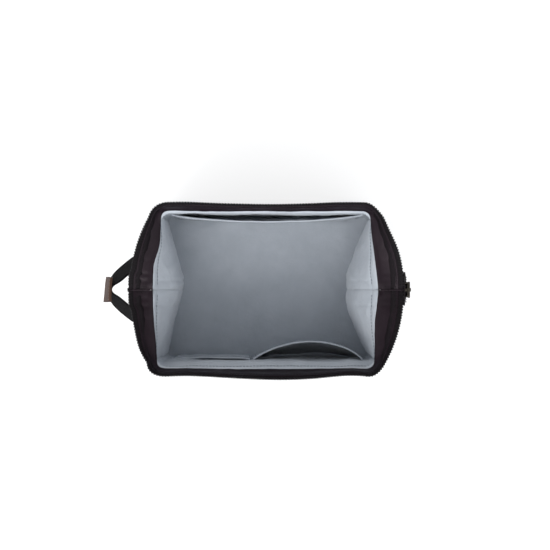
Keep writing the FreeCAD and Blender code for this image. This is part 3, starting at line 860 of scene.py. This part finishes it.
def outer_pieces():
    foot = (0.25, 0.7, 1.5, 2.6, 4, 5.5, 7, 7.8, 8.5, 9.2, 10, 11.5)
    heights = np.concatenate([np.array([*foot, *np.arange(13.5, 122.5, 2.6)]) * MM, [SPLIT_Z]])
    ring = push_out(rings(outer_ring, heights))
    upper = push_out(rings(outer_ring, np.linspace(SPLIT_Z, WALL_TOP - 1.5 * MM, 24)))
    ring[-1] = upper[0]
    build = Build().grid(ring, close=True, flip=True)
    row = ring[int(np.argmin(np.abs(heights - 10.4 * MM)))]
    line = np.concatenate([row, row[:1]])
    away = unit(line * (0.8, 1.4, 0))
    stitches(build, line + away * 0.05 * MM, away, pitch=3.4 * MM)
    for x in (-1, 1):
        for y in (-2.4, 2.4):
            pts = np.array([[x * BODY_X, y * MM, z] for z in np.linspace(13, 124, 60) * MM])
            pts[:, 0] += x * (wall_swell(pts) + 0.12 * MM)
            stitches(build, pts, (x, 0, 0), pitch=3.4 * MM)
    lower = build.make("outer_wall_lower", [OUTER, BLACK_THREAD])
    foams = ("front_wall_foam", "back_wall_foam", "left_end_foam", "right_end_foam")
    attach(lower, "bag_body", "outer_fabric", "front_outer_panel", "back_outer_panel", *foams)
    flattens(lower)
    for half in HALVES:
        rows = half_rows(half, upper)
        r = half.r * 1.03
        tops = [half.at(r * math.cos(a), r * math.sin(a)) for a in np.radians((-28, -44, -60, -76))]
        lift = np.array([0, 0, 1.1 * MM])
        shares = (0.25, 0.5, 0.75)
        bridge = [rows[-1] * (1 - s) + tops[0] * s + lift * math.sin(math.pi * s) for s in shares]
        pts = np.array([*rows, *bridge, *tops])
        build = Build().grid(pts, flip=half.side < 0)
        for x in (-1, 1):
            edge = pts[:24, 1 if x > 0 else -2]
            line = edge * (1, 0, 1) + (x * 0.12 * MM, half.side * 2.4 * MM, 0)
            stitches(build, line, (x, 0, 0), pitch=3.4 * MM)
        piece = build.make(f"{half.name}_outer_upper", [OUTER, BLACK_THREAD])
        bends(piece)
        stands_for(piece, "outer_fabric")


def end_strips():
    """Cloth behind the middle of each end, which shows where the two halves part as the mouth folds."""
    for x, name in ((1, "right"), (-1, "left")):
        ys = np.linspace(-26, 26, 27) * MM
        zs = np.linspace(116, 172, 24) * MM
        out = np.array([[[x * (BODY_X - 3.4 * MM), y, z] for y in ys] for z in zs])
        tucked = 3.4 * smooth((134 * MM - out[..., 2]) / (16 * MM))
        out[..., 0] += x * (0.4 * waves(out, (15 * MM,) * 3, 61) - tucked) * MM
        out[..., 0] += end_bow(out[..., 0], out[..., 1], smooth((out[..., 2] - 122 * MM) / (48 * MM)))
        build = Build().grid(out, flip=x > 0)
        inner = []
        for z in zs:
            fold = gusset_shape(ys, x > 0) * gusset_depth(z) * (1.0 if x > 0 else LEFT_FOLD)
            bow = np.abs(end_bow(x * WIRE_X + 0 * ys, ys, smooth((z - 110 * MM) / (62 * MM))))
            inner.append(np.stack([x * (LINE_X - fold + 2.0 * MM + bow), ys, np.full(len(ys), z)], 1))
        build.grid(inner, 1, flip=x < 0)
        piece = build.make(f"{name}_end_fold_cloth", [OUTER, LINING])
        attach(piece, "mouth_ends", "outer_fabric")


def bottom_pieces():
    """Bottom panel with a rounded edge, and the bottom lining over its board."""
    x, y = plan(BODY_X - 2.6 * MM, BODY_Y - 2.6 * MM, 11 * MM, near=0)
    outline = np.concatenate([np.stack([x, -y], 1), np.stack([x, y], 1)[::-1]])
    shares = (0.02, 0.25, 0.5, 0.75, 0.9, 0.96, 0.985, 1.0, 0.99)
    rows = []
    for s, z in zip(shares, (0.35, 0.3, 0.22, 0.12, 0.04, 0.05, 0.3, 0.7, 1.1)):
        ring = np.concatenate([outline * s, np.full((len(outline), 1), z * MM)], 1)
        ring[:, 2] += 0.25 * MM * np.abs(waves(ring, (40 * MM,) * 3, 71)) * (0.2 < s < 0.93)
        rows.append(ring)
    build = Build().grid(rows, close=True)
    build.add(rows[0], [list(range(len(outline)))[::-1]])
    inset = outline * (1 - 5 * MM / BODY_X, 1 - 5 * MM / BODY_Y)
    line = np.concatenate([inset, np.full((len(inset), 1), 0.06 * MM)], 1)
    stitches(build, np.concatenate([line, line[:1]]), (0, 0, -1), pitch=3.6 * MM, r=0.2 * MM)
    panel = build.make("bottom_cloth", [OUTER, BLACK_THREAD])
    attach(panel, "bag_body", "outer_fabric", "bottom_panel", "base_board")

    xs, ys = np.linspace(-1, 1, 96), np.linspace(-1, 1, 70)
    gx, gy = np.meshgrid(xs * (LINE_X + 1 * MM), ys * (LINE_Y + 1 * MM))
    pts = np.stack([gx, gy, np.full(gx.shape, 4.2 * MM)], -1)
    inside = smooth((1 - np.maximum(np.abs(xs)[None, :], np.abs(ys)[:, None])) / 0.12)
    rise = 0.9 * creases(pts, (50 * MM, 44 * MM, 50 * MM), 44) + 0.9 * waves(pts, (70 * MM,) * 3, 46) + 0.6
    pts[..., 2] += inside * rise * MM
    lining = Build().grid(pts).make("bottom_lining_cloth", [LINING])
    attach(lining, "bag_body", "lining_fabric", "bottom_lining")


def pocket(node, stand_off, dip, seed, skew=0.0):
    """A slip pocket: cloth that stands off the wall, with a turned and stitched hem at its top."""
    lo, hi = box(node)
    side = -1 if lo[1] + hi[1] < 0 else 1
    vs = np.linspace(0, 1, 44)
    U, V = np.meshgrid(np.linspace(0, 1, 74), vs)
    bow = (4 * U * (1 - U)) ** 0.85 * (1 + skew * (U - 0.5))
    reach = stand_off * (0.35 + 0.65 * smooth(V * 1.05))
    top = hi[2] - dip * (4 * U * (1 - U)) ** 1.2
    x, z = lo[0] + (hi[0] - lo[0]) * U, lo[2] + (top - lo[2]) * V
    lean = wall_lean(z) if side < 0 else 0
    y = side * (LINE_Y - 1.3 * MM) - side * (0.5 * MM + bow * reach + lean)
    pts = np.stack([x, y, z], -1)
    slack = 1.4 * creases(pts, (30 * MM, 30 * MM, 55 * MM), seed) + 1.0 * waves(pts, (34 * MM,) * 3, seed + 4)
    calm = 1 - 0.7 * smooth((V - 0.86) / 0.06)
    pts[..., 1] -= side * smooth(bow * 2.5) * calm * slack * MM
    n = grid_normals(pts)
    n *= np.sign((n * (0, -side, 0)).sum(-1, keepdims=True))
    thick = n * (0.5 * MM + 0.35 * MM * smooth((V - 0.895) / 0.012))[..., None]
    face, back = pts + thick, pts - thick
    edge = [pts[-1] + (0, 0, 0.55 * MM) + n[-1] * k * MM for k in (0.55, 0.0, -0.55)]
    build = Build().grid([*face, *edge, *back[::-1]], flip=side < 0)
    row = int(np.argmin(np.abs(vs - 0.905)))
    stitches(build, face[row] + n[row] * 0.05 * MM, n[row], pitch=2.9 * MM, r=0.25 * MM)
    for col in (1, -2):
        stitches(build, face[4:, col] + n[4:, col] * 0.1 * MM, n[4:, col], pitch=2.9 * MM, r=0.25 * MM)
    piece = build.make(f"{node}_cloth", [LINING, GREY_THREAD])
    attach(piece, "bag_body", "lining_fabric", node)
    flattens(piece)


# ------------------------------------------------------------------ ends of the mouth
def rounded_slab(build, centre, half, seed, wobble, power, n):
    """A soft slab: a superellipsoid with slight unevenness, half sizes in x, y, z."""
    th = np.linspace(-math.pi / 2, math.pi / 2, n[0])
    ph = np.linspace(-math.pi, math.pi, n[1], endpoint=False)
    T, F = np.meshgrid(th, ph, indexing="ij")
    d = np.stack([np.cos(T) * np.cos(F), np.cos(T) * np.sin(F), np.sin(T)], -1)
    r = (np.abs(d / np.asarray(half)) ** power).sum(-1) ** (-1 / power)
    pts = np.asarray(centre) + d * r[..., None]
    pts += d * (waves(pts, (7 * MM,) * 3, seed, 2) * wobble * MM)[..., None]
    build.grid(pts, close=True)


def upright(x, y, z0, z1, n):
    """A straight row of n points from z0 to z1."""
    return np.linspace((x, y, z0), (x, y, z1), n)


def end_seams():
    for x, name in ((1, "right"), (-1, "left")):
        lo, hi = box(f"{name}_end_seam")
        inner, outer = (lo[0], hi[0]) if x > 0 else (hi[0], lo[0])
        inner += float(end_bow(np.array(x * WIRE_X), np.array(0.0)))
        ends = (inner - x * 1.2 * MM, 0, RIM_Z - 0.75 * MM), (outer - x * 0.6 * MM, 0, RIM_Z - 0.7 * MM)
        line = np.linspace(*ends, 30)
        line[:, 2] += 0.15 * MM * waves(line, (6 * MM,) * 3, 81)
        build = Build()
        tube(build, line, 0.85 * MM, squeeze=0.75)
        for y in (-0.35, 0.35):
            stitches(build, line[25:29] + (0, y * MM, 0.62 * MM), (0, 0, 1), pitch=1.3 * MM, r=0.22 * MM)
        piece = build.make(f"{name}_seam_binding", [COLLAR, BLACK_THREAD])
        attach(piece, "mouth_ends", "outer_fabric", f"{name}_end_seam")


def zip_ends():
    for x, name in ((1, "right"), (-1, "left")):
        lo, hi = box(f"{name}_zip_end_tape")
        tab_lo, tab_hi = box(f"{name}_zip_end_tab")
        face = hi[0] if x > 0 else lo[0]
        ys = np.linspace(lo[1] + 0.4 * MM, hi[1] - 0.4 * MM, 30)
        top, foot = hi[2] - (0 if x > 0 else 5 * MM), lo[2] - 2 * MM
        curl = []
        for z in np.linspace(foot, top - 1.2 * MM, 26):
            over = smooth((z - (top - 9 * MM)) / (8 * MM))
            uneven = waves(np.stack([ys * 0, ys, ys * 0 + z], 1), (9 * MM,) * 3, 91)
            tape_x = (lo[0] + hi[0]) / 2 - x * 0.9 * MM * over**2 + x * 0.25 * MM * uneven
            curl.append(np.stack([tape_x, ys, np.full(30, z)], 1))
        curl, thick = np.array(curl), (x * 0.24 * MM, 0, 0)
        fold = curl[-1] - (x * 0.9 * MM, 0, -0.35 * MM)
        sheet = np.array([*(curl + thick), fold, *(curl - thick)[::-1]])
        build = Build().grid(sheet, flip=x > 0)
        for y in (-3.1, -14.5, 3.1, 14.5):
            pts = upright(face + x * 0.05 * MM, y * MM, tab_hi[2] + 1 * MM, top - 5 * MM, 20)
            stitches(build, pts, (x, 0, 0), pitch=2.6 * MM, r=0.22 * MM)
        tape = build.make(f"{name}_zip_end_tape_woven", [TAPE, BLACK_THREAD])
        attach(tape, "mouth_ends", "zip_tape", f"{name}_zip_end_tape")

        # joined chain of teeth
        build = Build()
        t_hi = box(f"{name}_zip_end_teeth")[1]
        z, k = tab_hi[2] + 0.8 * MM, 0
        while z < min(t_hi[2], top - 3 * MM):
            centre = (face + x * 1.1 * MM, (-1 if k % 2 else 1) * 0.55 * MM, z)
            rounded_slab(build, centre, (1.05 * MM, 1.75 * MM, 0.72 * MM), k, 0.0, 4.0, (8, 12))
            z += TOOTH_PITCH / 2
            k += 1
        teeth = build.make(f"{name}_zip_end_chain", [TEETH])
        attach(teeth, "mouth_ends", "zip_teeth", f"{name}_zip_end_teeth")

        # tab of folded cloth over the zip's end
        build = Build()
        centre, size = (tab_lo + tab_hi) / 2, (tab_hi - tab_lo) / 2
        if x > 0:  # crumpled to one side of the slider
            centre, size = centre + (0.5 * MM, 2.2 * MM, 0), size * (1.25, 0.93, 1.0)
        rounded_slab(build, centre, size * (1.12, 0.99, 1.0), 17 + x, 1.3 if x > 0 else 0.7, 5.0, (30, 60))
        for s in (-1, 1):
            edge = np.linspace((x * 1.13, -0.86, s * 0.68), (x * 1.13, 0.86, s * 0.68), 30) * size
            edge += centre * (1, 0, 1)
            stitches(build, edge, (x, 0, 0), pitch=2.6 * MM, r=0.26 * MM)
        tab = build.make(f"{name}_zip_end_tab_cloth", [OUTER, BLACK_THREAD])
        attach(tab, "mouth_ends", "outer_fabric", f"{name}_zip_end_tab")


# ------------------------------------------------------------------ zip slider
def plate(build, outline, x0, x1, chamfer=0.3 * MM):
    """A flat plate in the YZ plane between two x, from an outline of (y, z), with chamfered rims."""
    out = np.asarray(outline, float)
    centre = out.mean(0)
    small = centre + (out - centre) * (1 - chamfer / np.abs(out - centre).max(0))
    m = len(out)
    step = chamfer * (1 if x1 > x0 else -1)
    layers = [(small, x0), (out, x0 + step), (out, x1 - step), (small, x1)]
    verts = [[x, y, z] for ring, x in layers for y, z in ring]
    build.solid(verts, prism_faces(4, m) + [list(range(m))[::-1], [3 * m + k for k in range(m)]])


def arc_outline(half_w, z0, z1, taper, r, n=6):
    """A rounded outline of (y, z), narrower at its foot by taper."""
    top, foot = half_w - r, half_w * taper - r
    pts = []
    for y, z, start in ((top, z1 - r, 0), (-top, z1 - r, 90), (-foot, z0 + r, 180), (foot, z0 + r, 270)):
        for a in np.radians(np.linspace(start, start + 90, n + 1)):
            pts.append((y + r * math.cos(a), z + r * math.sin(a)))
    return pts


def bevelled(piece, width):
    m = piece.modifiers.new("bevel", "BEVEL")
    m.width, m.segments, m.limit_method, m.angle_limit = width, 3, "ANGLE", math.radians(35)
    return piece


def slider_pieces():
    lo, hi = box("slider_body")
    pull_lo, pull_hi = box("slider_pull")
    tape_face = box("right_zip_end_tape")[1][0]
    half_w, z0, z1 = (hi[1] - lo[1]) / 2, lo[2], hi[2]
    build = Build()
    wall = 1.5 * MM
    back_in, front_in = tape_face - 0.7 * MM, tape_face + 2.15 * MM
    shape = arc_outline(half_w, z0, z1, 0.8, 2.4 * MM)
    plate(build, shape, back_in - wall, back_in)
    plate(build, shape, front_in, front_in + wall)
    post = arc_outline(1.6 * MM, z1 - 6.5 * MM, z1 - 0.4 * MM, 0.5, 0.7 * MM, 4)
    plate(build, post, back_in - 0.2 * MM, front_in + 0.2 * MM, chamfer=0.05 * MM)
    high, low = z1 - 3 * MM, z0 + 1.6 * MM
    for s in (-1, 1):
        rim = [(half_w * 0.985, high), (half_w - 1.5 * MM, high)]
        rim += [(half_w * 0.8 - 1.4 * MM, low), (half_w * 0.79, low)]
        rim = [(s * y, z) for y, z in rim[::s]]
        plate(build, rim, front_in + 0.3 * MM, front_in - 1.4 * MM, chamfer=0.1 * MM)
    # bridge that the pull swings in
    pivot = pull_lo[2] + 30 * MM
    base = front_in + wall - 0.2 * MM
    rise = hi[0] - 0.75 * MM - base
    a = np.linspace(0, math.pi, 25)
    line = np.stack([base + rise * np.abs(np.sin(a)) ** 0.6, 0 * a, pivot + 5.2 * MM * np.cos(a)], 1)
    out = np.cross([0, 1.0, 0], unit(np.gradient(line, axis=0)))
    over = ((-1.9, 0.35), (-1.5, 0.62), (1.5, 0.62), (1.9, 0.35))
    under = ((1.9, -0.35), (1.5, -0.6), (-1.5, -0.6), (-1.9, -0.35))
    rows = [line + (0, y * MM, 0) - out * h * MM for y, h in over + under]
    build.grid(rows + rows[:1])
    body = bevelled(build.make("zip_slider_shell", [METAL], flat=True), 0.18 * MM)
    attach(body, "zip_slider", "slider_metal", "slider_body")

    # pull: a frame on a round bar, with a ribbed grip plate
    build = Build()
    w, px = (pull_hi[1] - pull_lo[1]) / 2, (pull_lo[0] + pull_hi[0]) / 2
    z0, z1 = pull_lo[2], pull_hi[2]
    outline = arc_outline(w, z0, z1, 0.92, 2.6 * MM)
    upper = arc_outline(w - 2.7 * MM, z1 - 10.5 * MM, z1 - 1.95 * MM, 1.0, 1.2 * MM)
    lower = arc_outline(w - 3.6 * MM, z0 + 4.6 * MM, z0 + 16.0 * MM, 1.0, 1.6 * MM)
    thick = 0.85 * MM
    frame_pull(build, outline, (upper, lower), px, thick)
    bar = w - 2.2 * MM
    tube(build, np.linspace((px, -bar, pivot), (px, bar, pivot), 9), 0.9 * MM)
    for k in range(4):
        x, z = px + thick * 0.9, z0 + 0.9 * MM + k * 0.85 * MM
        tube(build, np.linspace((x, -0.55 * w, z), (x, 0.55 * w, z), 7), 0.26 * MM, 6, up=(1, 0, 0))
    pull = bevelled(build.make("zip_pull_frame", [METAL], flat=True), 0.16 * MM)
    attach(pull, "pull", "slider_metal", "slider_pull")


def frame_pull(build, outline, holes, x, thick):
    """A plate with two holes, built as a ring from each hole to the outline or the line between them."""
    out = np.array(outline)
    holes = [np.array(h) for h in holes]
    split = (holes[0][:, 1].min() + holes[1][:, 1].max()) / 2
    wide = 2 * np.abs(out[:, 0]).max()
    edges = [*zip(out, np.roll(out, -1, 0)), (np.array((-wide, split)), np.array((wide, split)))]
    for hole in holes:
        c = hole.mean(0)
        edge = []
        for d in unit(hole - c):
            best = None
            for a, b in edges:
                best = hit(c, d, a, b, best)
            edge.append(c + d * best)
        rows = []
        for ring, h in ((hole, -1), (edge, -1), (edge, 1), (hole, 1), (hole, -1)):
            rows.append([(x + h * thick, y, z) for y, z in ring])
        build.grid(rows, close=True)


def hit(c, d, a, b, best):
    """Distance from c along d to the segment ab, if it is nearer than best."""
    e = b - a
    det = d[0] * -e[1] + d[1] * e[0]
    if abs(det) < 1e-12:
        return best
    r = a - c
    t = (r[0] * -e[1] + r[1] * e[0]) / det
    s = (d[0] * r[1] - d[1] * r[0]) / det
    if t > 1e-9 and -1e-6 <= s <= 1 + 1e-6 and (best is None or t < best):
        return t
    return best


# ------------------------------------------------------------------ carrying loop
LOOP_X, _, LOOP_Z = JOINTS["loop_swing"]["pos_m"]
LOOP_ROOT_Y = 42 * MM
LOOP_APEX = -172.5 * MM
LOOP_BEND = 10 * MM
LOOP_LIFT = math.radians(18)


def loop_path():
    """Middle line of the loop in plan, from the back root round to the front one, before it is lifted."""
    pads_hi = box("loop_anchor_pads")[1]
    cx = LOOP_APEX + LOOP_BEND
    reach = math.hypot(LOOP_X - cx, LOOP_ROOT_Y)
    lead = math.atan2(LOOP_ROOT_Y, LOOP_X - cx) + math.acos(LOOP_BEND / reach)
    arc = [(cx + LOOP_BEND * math.cos(a), LOOP_BEND * math.sin(a)) for a in np.linspace(lead, math.pi, 6)]
    wall = pads_hi[0] - 1.2 * MM
    root = [(wall, pads_hi[1] - 3 * MM), (wall, LOOP_ROOT_Y + 5 * MM)]
    root += [(wall - 1.6 * MM, LOOP_ROOT_Y + 1.5 * MM), (LOOP_X + 3 * MM, LOOP_ROOT_Y + 0.2 * MM)]
    share = np.linspace(0.12, 0.96, 9)[:, None]
    bulge = 1.2 * MM * np.sin(math.pi * np.arange(9) / 8)[:, None]
    strand = (1 - share) * (LOOP_X, LOOP_ROOT_Y - 2 * MM) + share * arc[0] + bulge * (-1, 1)
    half = np.array([*root, *strand, *arc])
    full = np.concatenate([half, half[::-1][1:] * (1, -1)])
    for _ in range(3):
        mid = (full[1:] + full[:-1]) / 2
        full = resample(np.concatenate([full[:1], mid, full[-1:]]), 1.0 * MM)
    return full


def lifted(pts):
    """Tips the loop up about its roots."""
    turn = -LOOP_LIFT * smooth((-pts[..., 0] - 121.5 * MM) / (12 * MM))
    x, z = pts[..., 0] - LOOP_X, pts[..., 2] - LOOP_Z
    out = pts.copy()
    out[..., 0] = LOOP_X + x * np.cos(turn) - z * np.sin(turn)
    out[..., 2] = LOOP_Z + z * np.cos(turn) + x * np.sin(turn)
    return out


def loop_webbing():
    path = loop_path()
    d = unit(np.gradient(path, axis=0))
    out = np.stack([-d[:, 1], d[:, 0]], 1)
    out *= np.sign((out * (path - (-140 * MM, 0))).sum(1).mean())
    roll = math.tan(math.radians(24)) * (1 - bump_at(path[:, 1], 0, 9 * MM))
    roll = roll * smooth((-path[:, 0] - 124 * MM) / (8 * MM))

    def band(offset, height):
        flat = path + out * (offset - height * roll)[:, None]
        return np.concatenate([flat, np.full((len(path), 1), LOOP_Z + height)], 1)

    half, t = 10 * MM, 1.0 * MM
    side = [(t, -half + 0.8 * MM)] + [(t, h) for h in np.linspace(-half + 1.6 * MM, half - 1.6 * MM, 9)]
    side += [(t, half - 0.8 * MM), (t * 0.6, half), (-t * 0.6, half)]
    section = side + [(-a, -h) for a, h in side]
    s = run_along(path)
    twist = 0.5 * MM * np.sin(s / s[-1] * math.pi * 3)
    uneven = 0.3 * MM * waves(band(0, 0), (15 * MM,) * 3, 101)
    rows = np.array([lifted(band(a + uneven, h) + [0, 0, 1] * twist[:, None]) for a, h in section])
    build = Build().grid([*rows, rows[0]], flip=True)
    build.caps(rows)
    webbing = build.make("carrying_loop_webbing", [WEBBING])
    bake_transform(webbing)
    stands_for(webbing, "webbing", "loop_webbing")


def leather_patch():
    """A doubled patch sewn across the outside of the bend."""
    build = Build()
    half_h, half_y, back = 12 * MM, 13.5 * MM, LOOP_APEX
    us = np.linspace(-1, 1, 40)

    def patch(x, h, spread=1.0):
        y = us * (half_y - 0.35 * MM * (h / half_h)) * spread
        bent = x + 0.5 * MM * us**2 + 1.1 * MM * us - 0.5 * MM * us * h / half_h
        p = np.stack([bent, y, np.full(40, LOOP_Z + h)], 1)
        p[:, 0] += 0.35 * MM * waves(p, (10 * MM,) * 3, 111, 2)
        return lifted(p)

    r = 0.35 * MM
    for near, far in ((back - 0.02 * MM, back - 1.42 * MM), (back - 1.5 * MM, back - 2.9 * MM)):
        # the outer face, with a groove for each row of stitches, and the inner one
        groove = [(far + k * MM, half_h - h * MM, 1.0) for k, h in ((0.08, 2.9), (0.3, 2.3), (0.08, 1.7))]
        end = groove + [(far, half_h - r, 1.0), (far + r, half_h, 0.985)]
        section = [(x, -h, k) for x, h, k in end[::-1]]
        section += [(far, h, 1.0) for h in np.linspace(-half_h + 4 * MM, half_h - 4 * MM, 9)] + end
        section += [(near - r, half_h, 0.985), (near, half_h - r, 1.0)]
        section += [(near, h, 1.0) for h in np.linspace(half_h - 2 * MM, -half_h + 2 * MM, 9)]
        section += [(near, -half_h + r, 1.0), (near - r, -half_h, 0.985)]
        rows = np.array([patch(x, h, k) for x, h, k in section])
        build.grid([*rows, rows[0]], flip=True)
        build.caps(rows)
    for h in (-half_h + 2.3 * MM, half_h - 2.3 * MM):
        for x, out_x in ((back - 2.66 * MM, -1.0), (back + 0.02 * MM, 1.0)):
            stitches(build, patch(x, h)[2:-2], (out_x, 0, -0.3 * out_x), pitch=2.8 * MM, r=0.32 * MM)
    grip = build.make("leather_grip_folded", [LEATHER, TAN_THREAD])
    attach(grip, "carrying_loop", "grip_leather", "loop_leather_grip")


def loop_pads():
    """Pads over the loop's sewn roots."""
    build = Build()
    lo, hi = box("loop_anchor_pads")
    mid, half_h = (lo + hi) / 2, (hi[2] - lo[2]) / 2
    for side in (-1, 1):
        c = np.array([mid[0] - 0.2 * MM, side * 44.5 * MM, mid[2]])
        rounded_slab(build, c, (1.5 * MM, 8.2 * MM, half_h), 5 + side, 0.3, 7.0, (26, 40))
        corners = [(-1.5, y, z) for y, z in ((-6.4, -8.4), (-6.4, 8.4), (6.4, -8.4), (6.4, 8.4))]
        for i, j in ((0, 1), (2, 3), (1, 2), (0, 3)):
            line = c + np.linspace(corners[i], corners[j], 14) * MM
            stitches(build, line, (-1, 0, 0), pitch=2.4 * MM)
    pads = build.make("carrying_loop_pads", [WEBBING, BLACK_THREAD])
    attach(pads, "mouth_ends", "webbing", "loop_anchor_pads")


def spring_wire(half):
    """The wire inside the collar, and the caps on its ends."""
    name = half.name
    line = half.P[np.abs(half.P[:, 1]) > 5 * MM]
    build = Build()
    tube(build, line, WIRE_R)
    attach(build.make(f"{name}_spring_wire", [STEEL]), f"{name}_frame", "wire_steel", f"{name}_mouth_wire")
    build = Build()
    for end in (line[:8], line[-8:]):
        tube(build, end, 1.95 * MM)
    covers = build.make(f"{name}_wire_end_covers", [HIDDEN_PLASTIC])
    attach(covers, f"{name}_frame", "cap_plastic", f"{name}_wire_end_caps")


# ------------------------------------------------------------------ the bag
for half, phase in zip(HALVES, (0.25, 0.75)):
    collar(half)
    zip_side(half, phase)
lining_pieces()
outer_pieces()
end_strips()
bottom_pieces()
pocket("front_left_pocket", 1.3 * MM, 3 * MM, 201)
pocket("front_right_pocket", 19 * MM, 5 * MM, 211, 0.25)
pocket("back_pocket", 7 * MM, 3 * MM, 221)
end_seams()
zip_ends()
slider_pieces()
loop_webbing()
leather_patch()
loop_pads()
for half in HALVES:
    spring_wire(half)


# ------------------------------------------------------------------ floor, light and camera
def studio():
    n = Nodes("studio_floor", roughness=0.9, specular=0.1)
    tone = n.noise(n.place(), 3.0, 3.0, 0.5)
    n.shader.inputs["Emission Color"].default_value = (1, 1, 1, 1)
    n.shader.inputs["Emission Strength"].default_value = 0.68
    n.finish(n.ramp(tone, (0.2, (0.40, 0.40, 0.405)), (0.8, (0.42, 0.42, 0.42))))
    build = Build()
    s = 3.0
    build.add([(-s, -s, 0), (s, -s, 0), (s, s, 0), (-s, s, 0)], [[0, 1, 2, 3]])
    floor = build.make("floor", [n.mat])

    # a bright studio in front of the bag that fades to a dim one behind it
    world = bpy.data.worlds.new("studio_world")
    world.use_nodes = True
    tree = world.node_tree
    back = next(x for x in tree.nodes if x.type == "BACKGROUND")
    back.inputs["Color"].default_value = (0.96, 0.98, 1.0, 1)
    place = tree.nodes.new("ShaderNodeTexCoord")
    part = tree.nodes.new("ShaderNodeSeparateXYZ")
    fade = tree.nodes.new("ShaderNodeMapRange")
    fade.interpolation_type = "SMOOTHSTEP"
    for key, value in (("From Min", -0.55), ("From Max", 0.5), ("To Min", 1.85), ("To Max", 0.42)):
        fade.inputs[key].default_value = value
    tree.links.new(place.outputs["Generated"], part.inputs[0])
    tree.links.new(part.outputs["Y"], fade.inputs["Value"])
    tree.links.new(fade.outputs[0], back.inputs["Strength"])
    bpy.context.scene.world = world

    def lamp(name, place, at, size, power, colour=(1, 1, 1)):
        data = bpy.data.lights.new(name, "AREA")
        data.shape, data.size, data.size_y = "RECTANGLE", size[0], size[1]
        data.energy, data.color = power, colour
        obj = bpy.data.objects.new(name, data)
        obj.location = place
        obj.rotation_euler = (Vector(at) - Vector(place)).to_track_quat("-Z", "Y").to_euler()
        bpy.context.scene.collection.objects.link(obj)

    lamp("key", (-0.4, -1.0, 1.65), (0, 0, 0.1), (0.9, 0.6), 14, (1.0, 0.985, 0.96))
    lamp("rim", (-0.5, 1.25, 0.75), (0, -0.08, 0.15), (0.9, 0.4), 5, (1.0, 0.99, 0.97))

    cam = bpy.data.cameras.new("camera")
    cam.sensor_width = 36
    level, height = 0.19, 1.95  # of the mouth and of the camera
    seen = 550 * 1.05 * MM  # width of the picture at the mouth's level
    cam.lens = cam.sensor_width * (height - level) / seen
    obj = bpy.data.objects.new("camera", cam)
    obj.location = (8.4 * MM, 15.75 * MM, height)
    obj.rotation_euler = (0, 0, 0)
    bpy.context.scene.collection.objects.link(obj)
    bpy.context.scene.camera = obj
    bpy.context.scene.view_settings.view_transform = "Standard"
    bpy.context.scene.view_settings.look = "None"


studio()
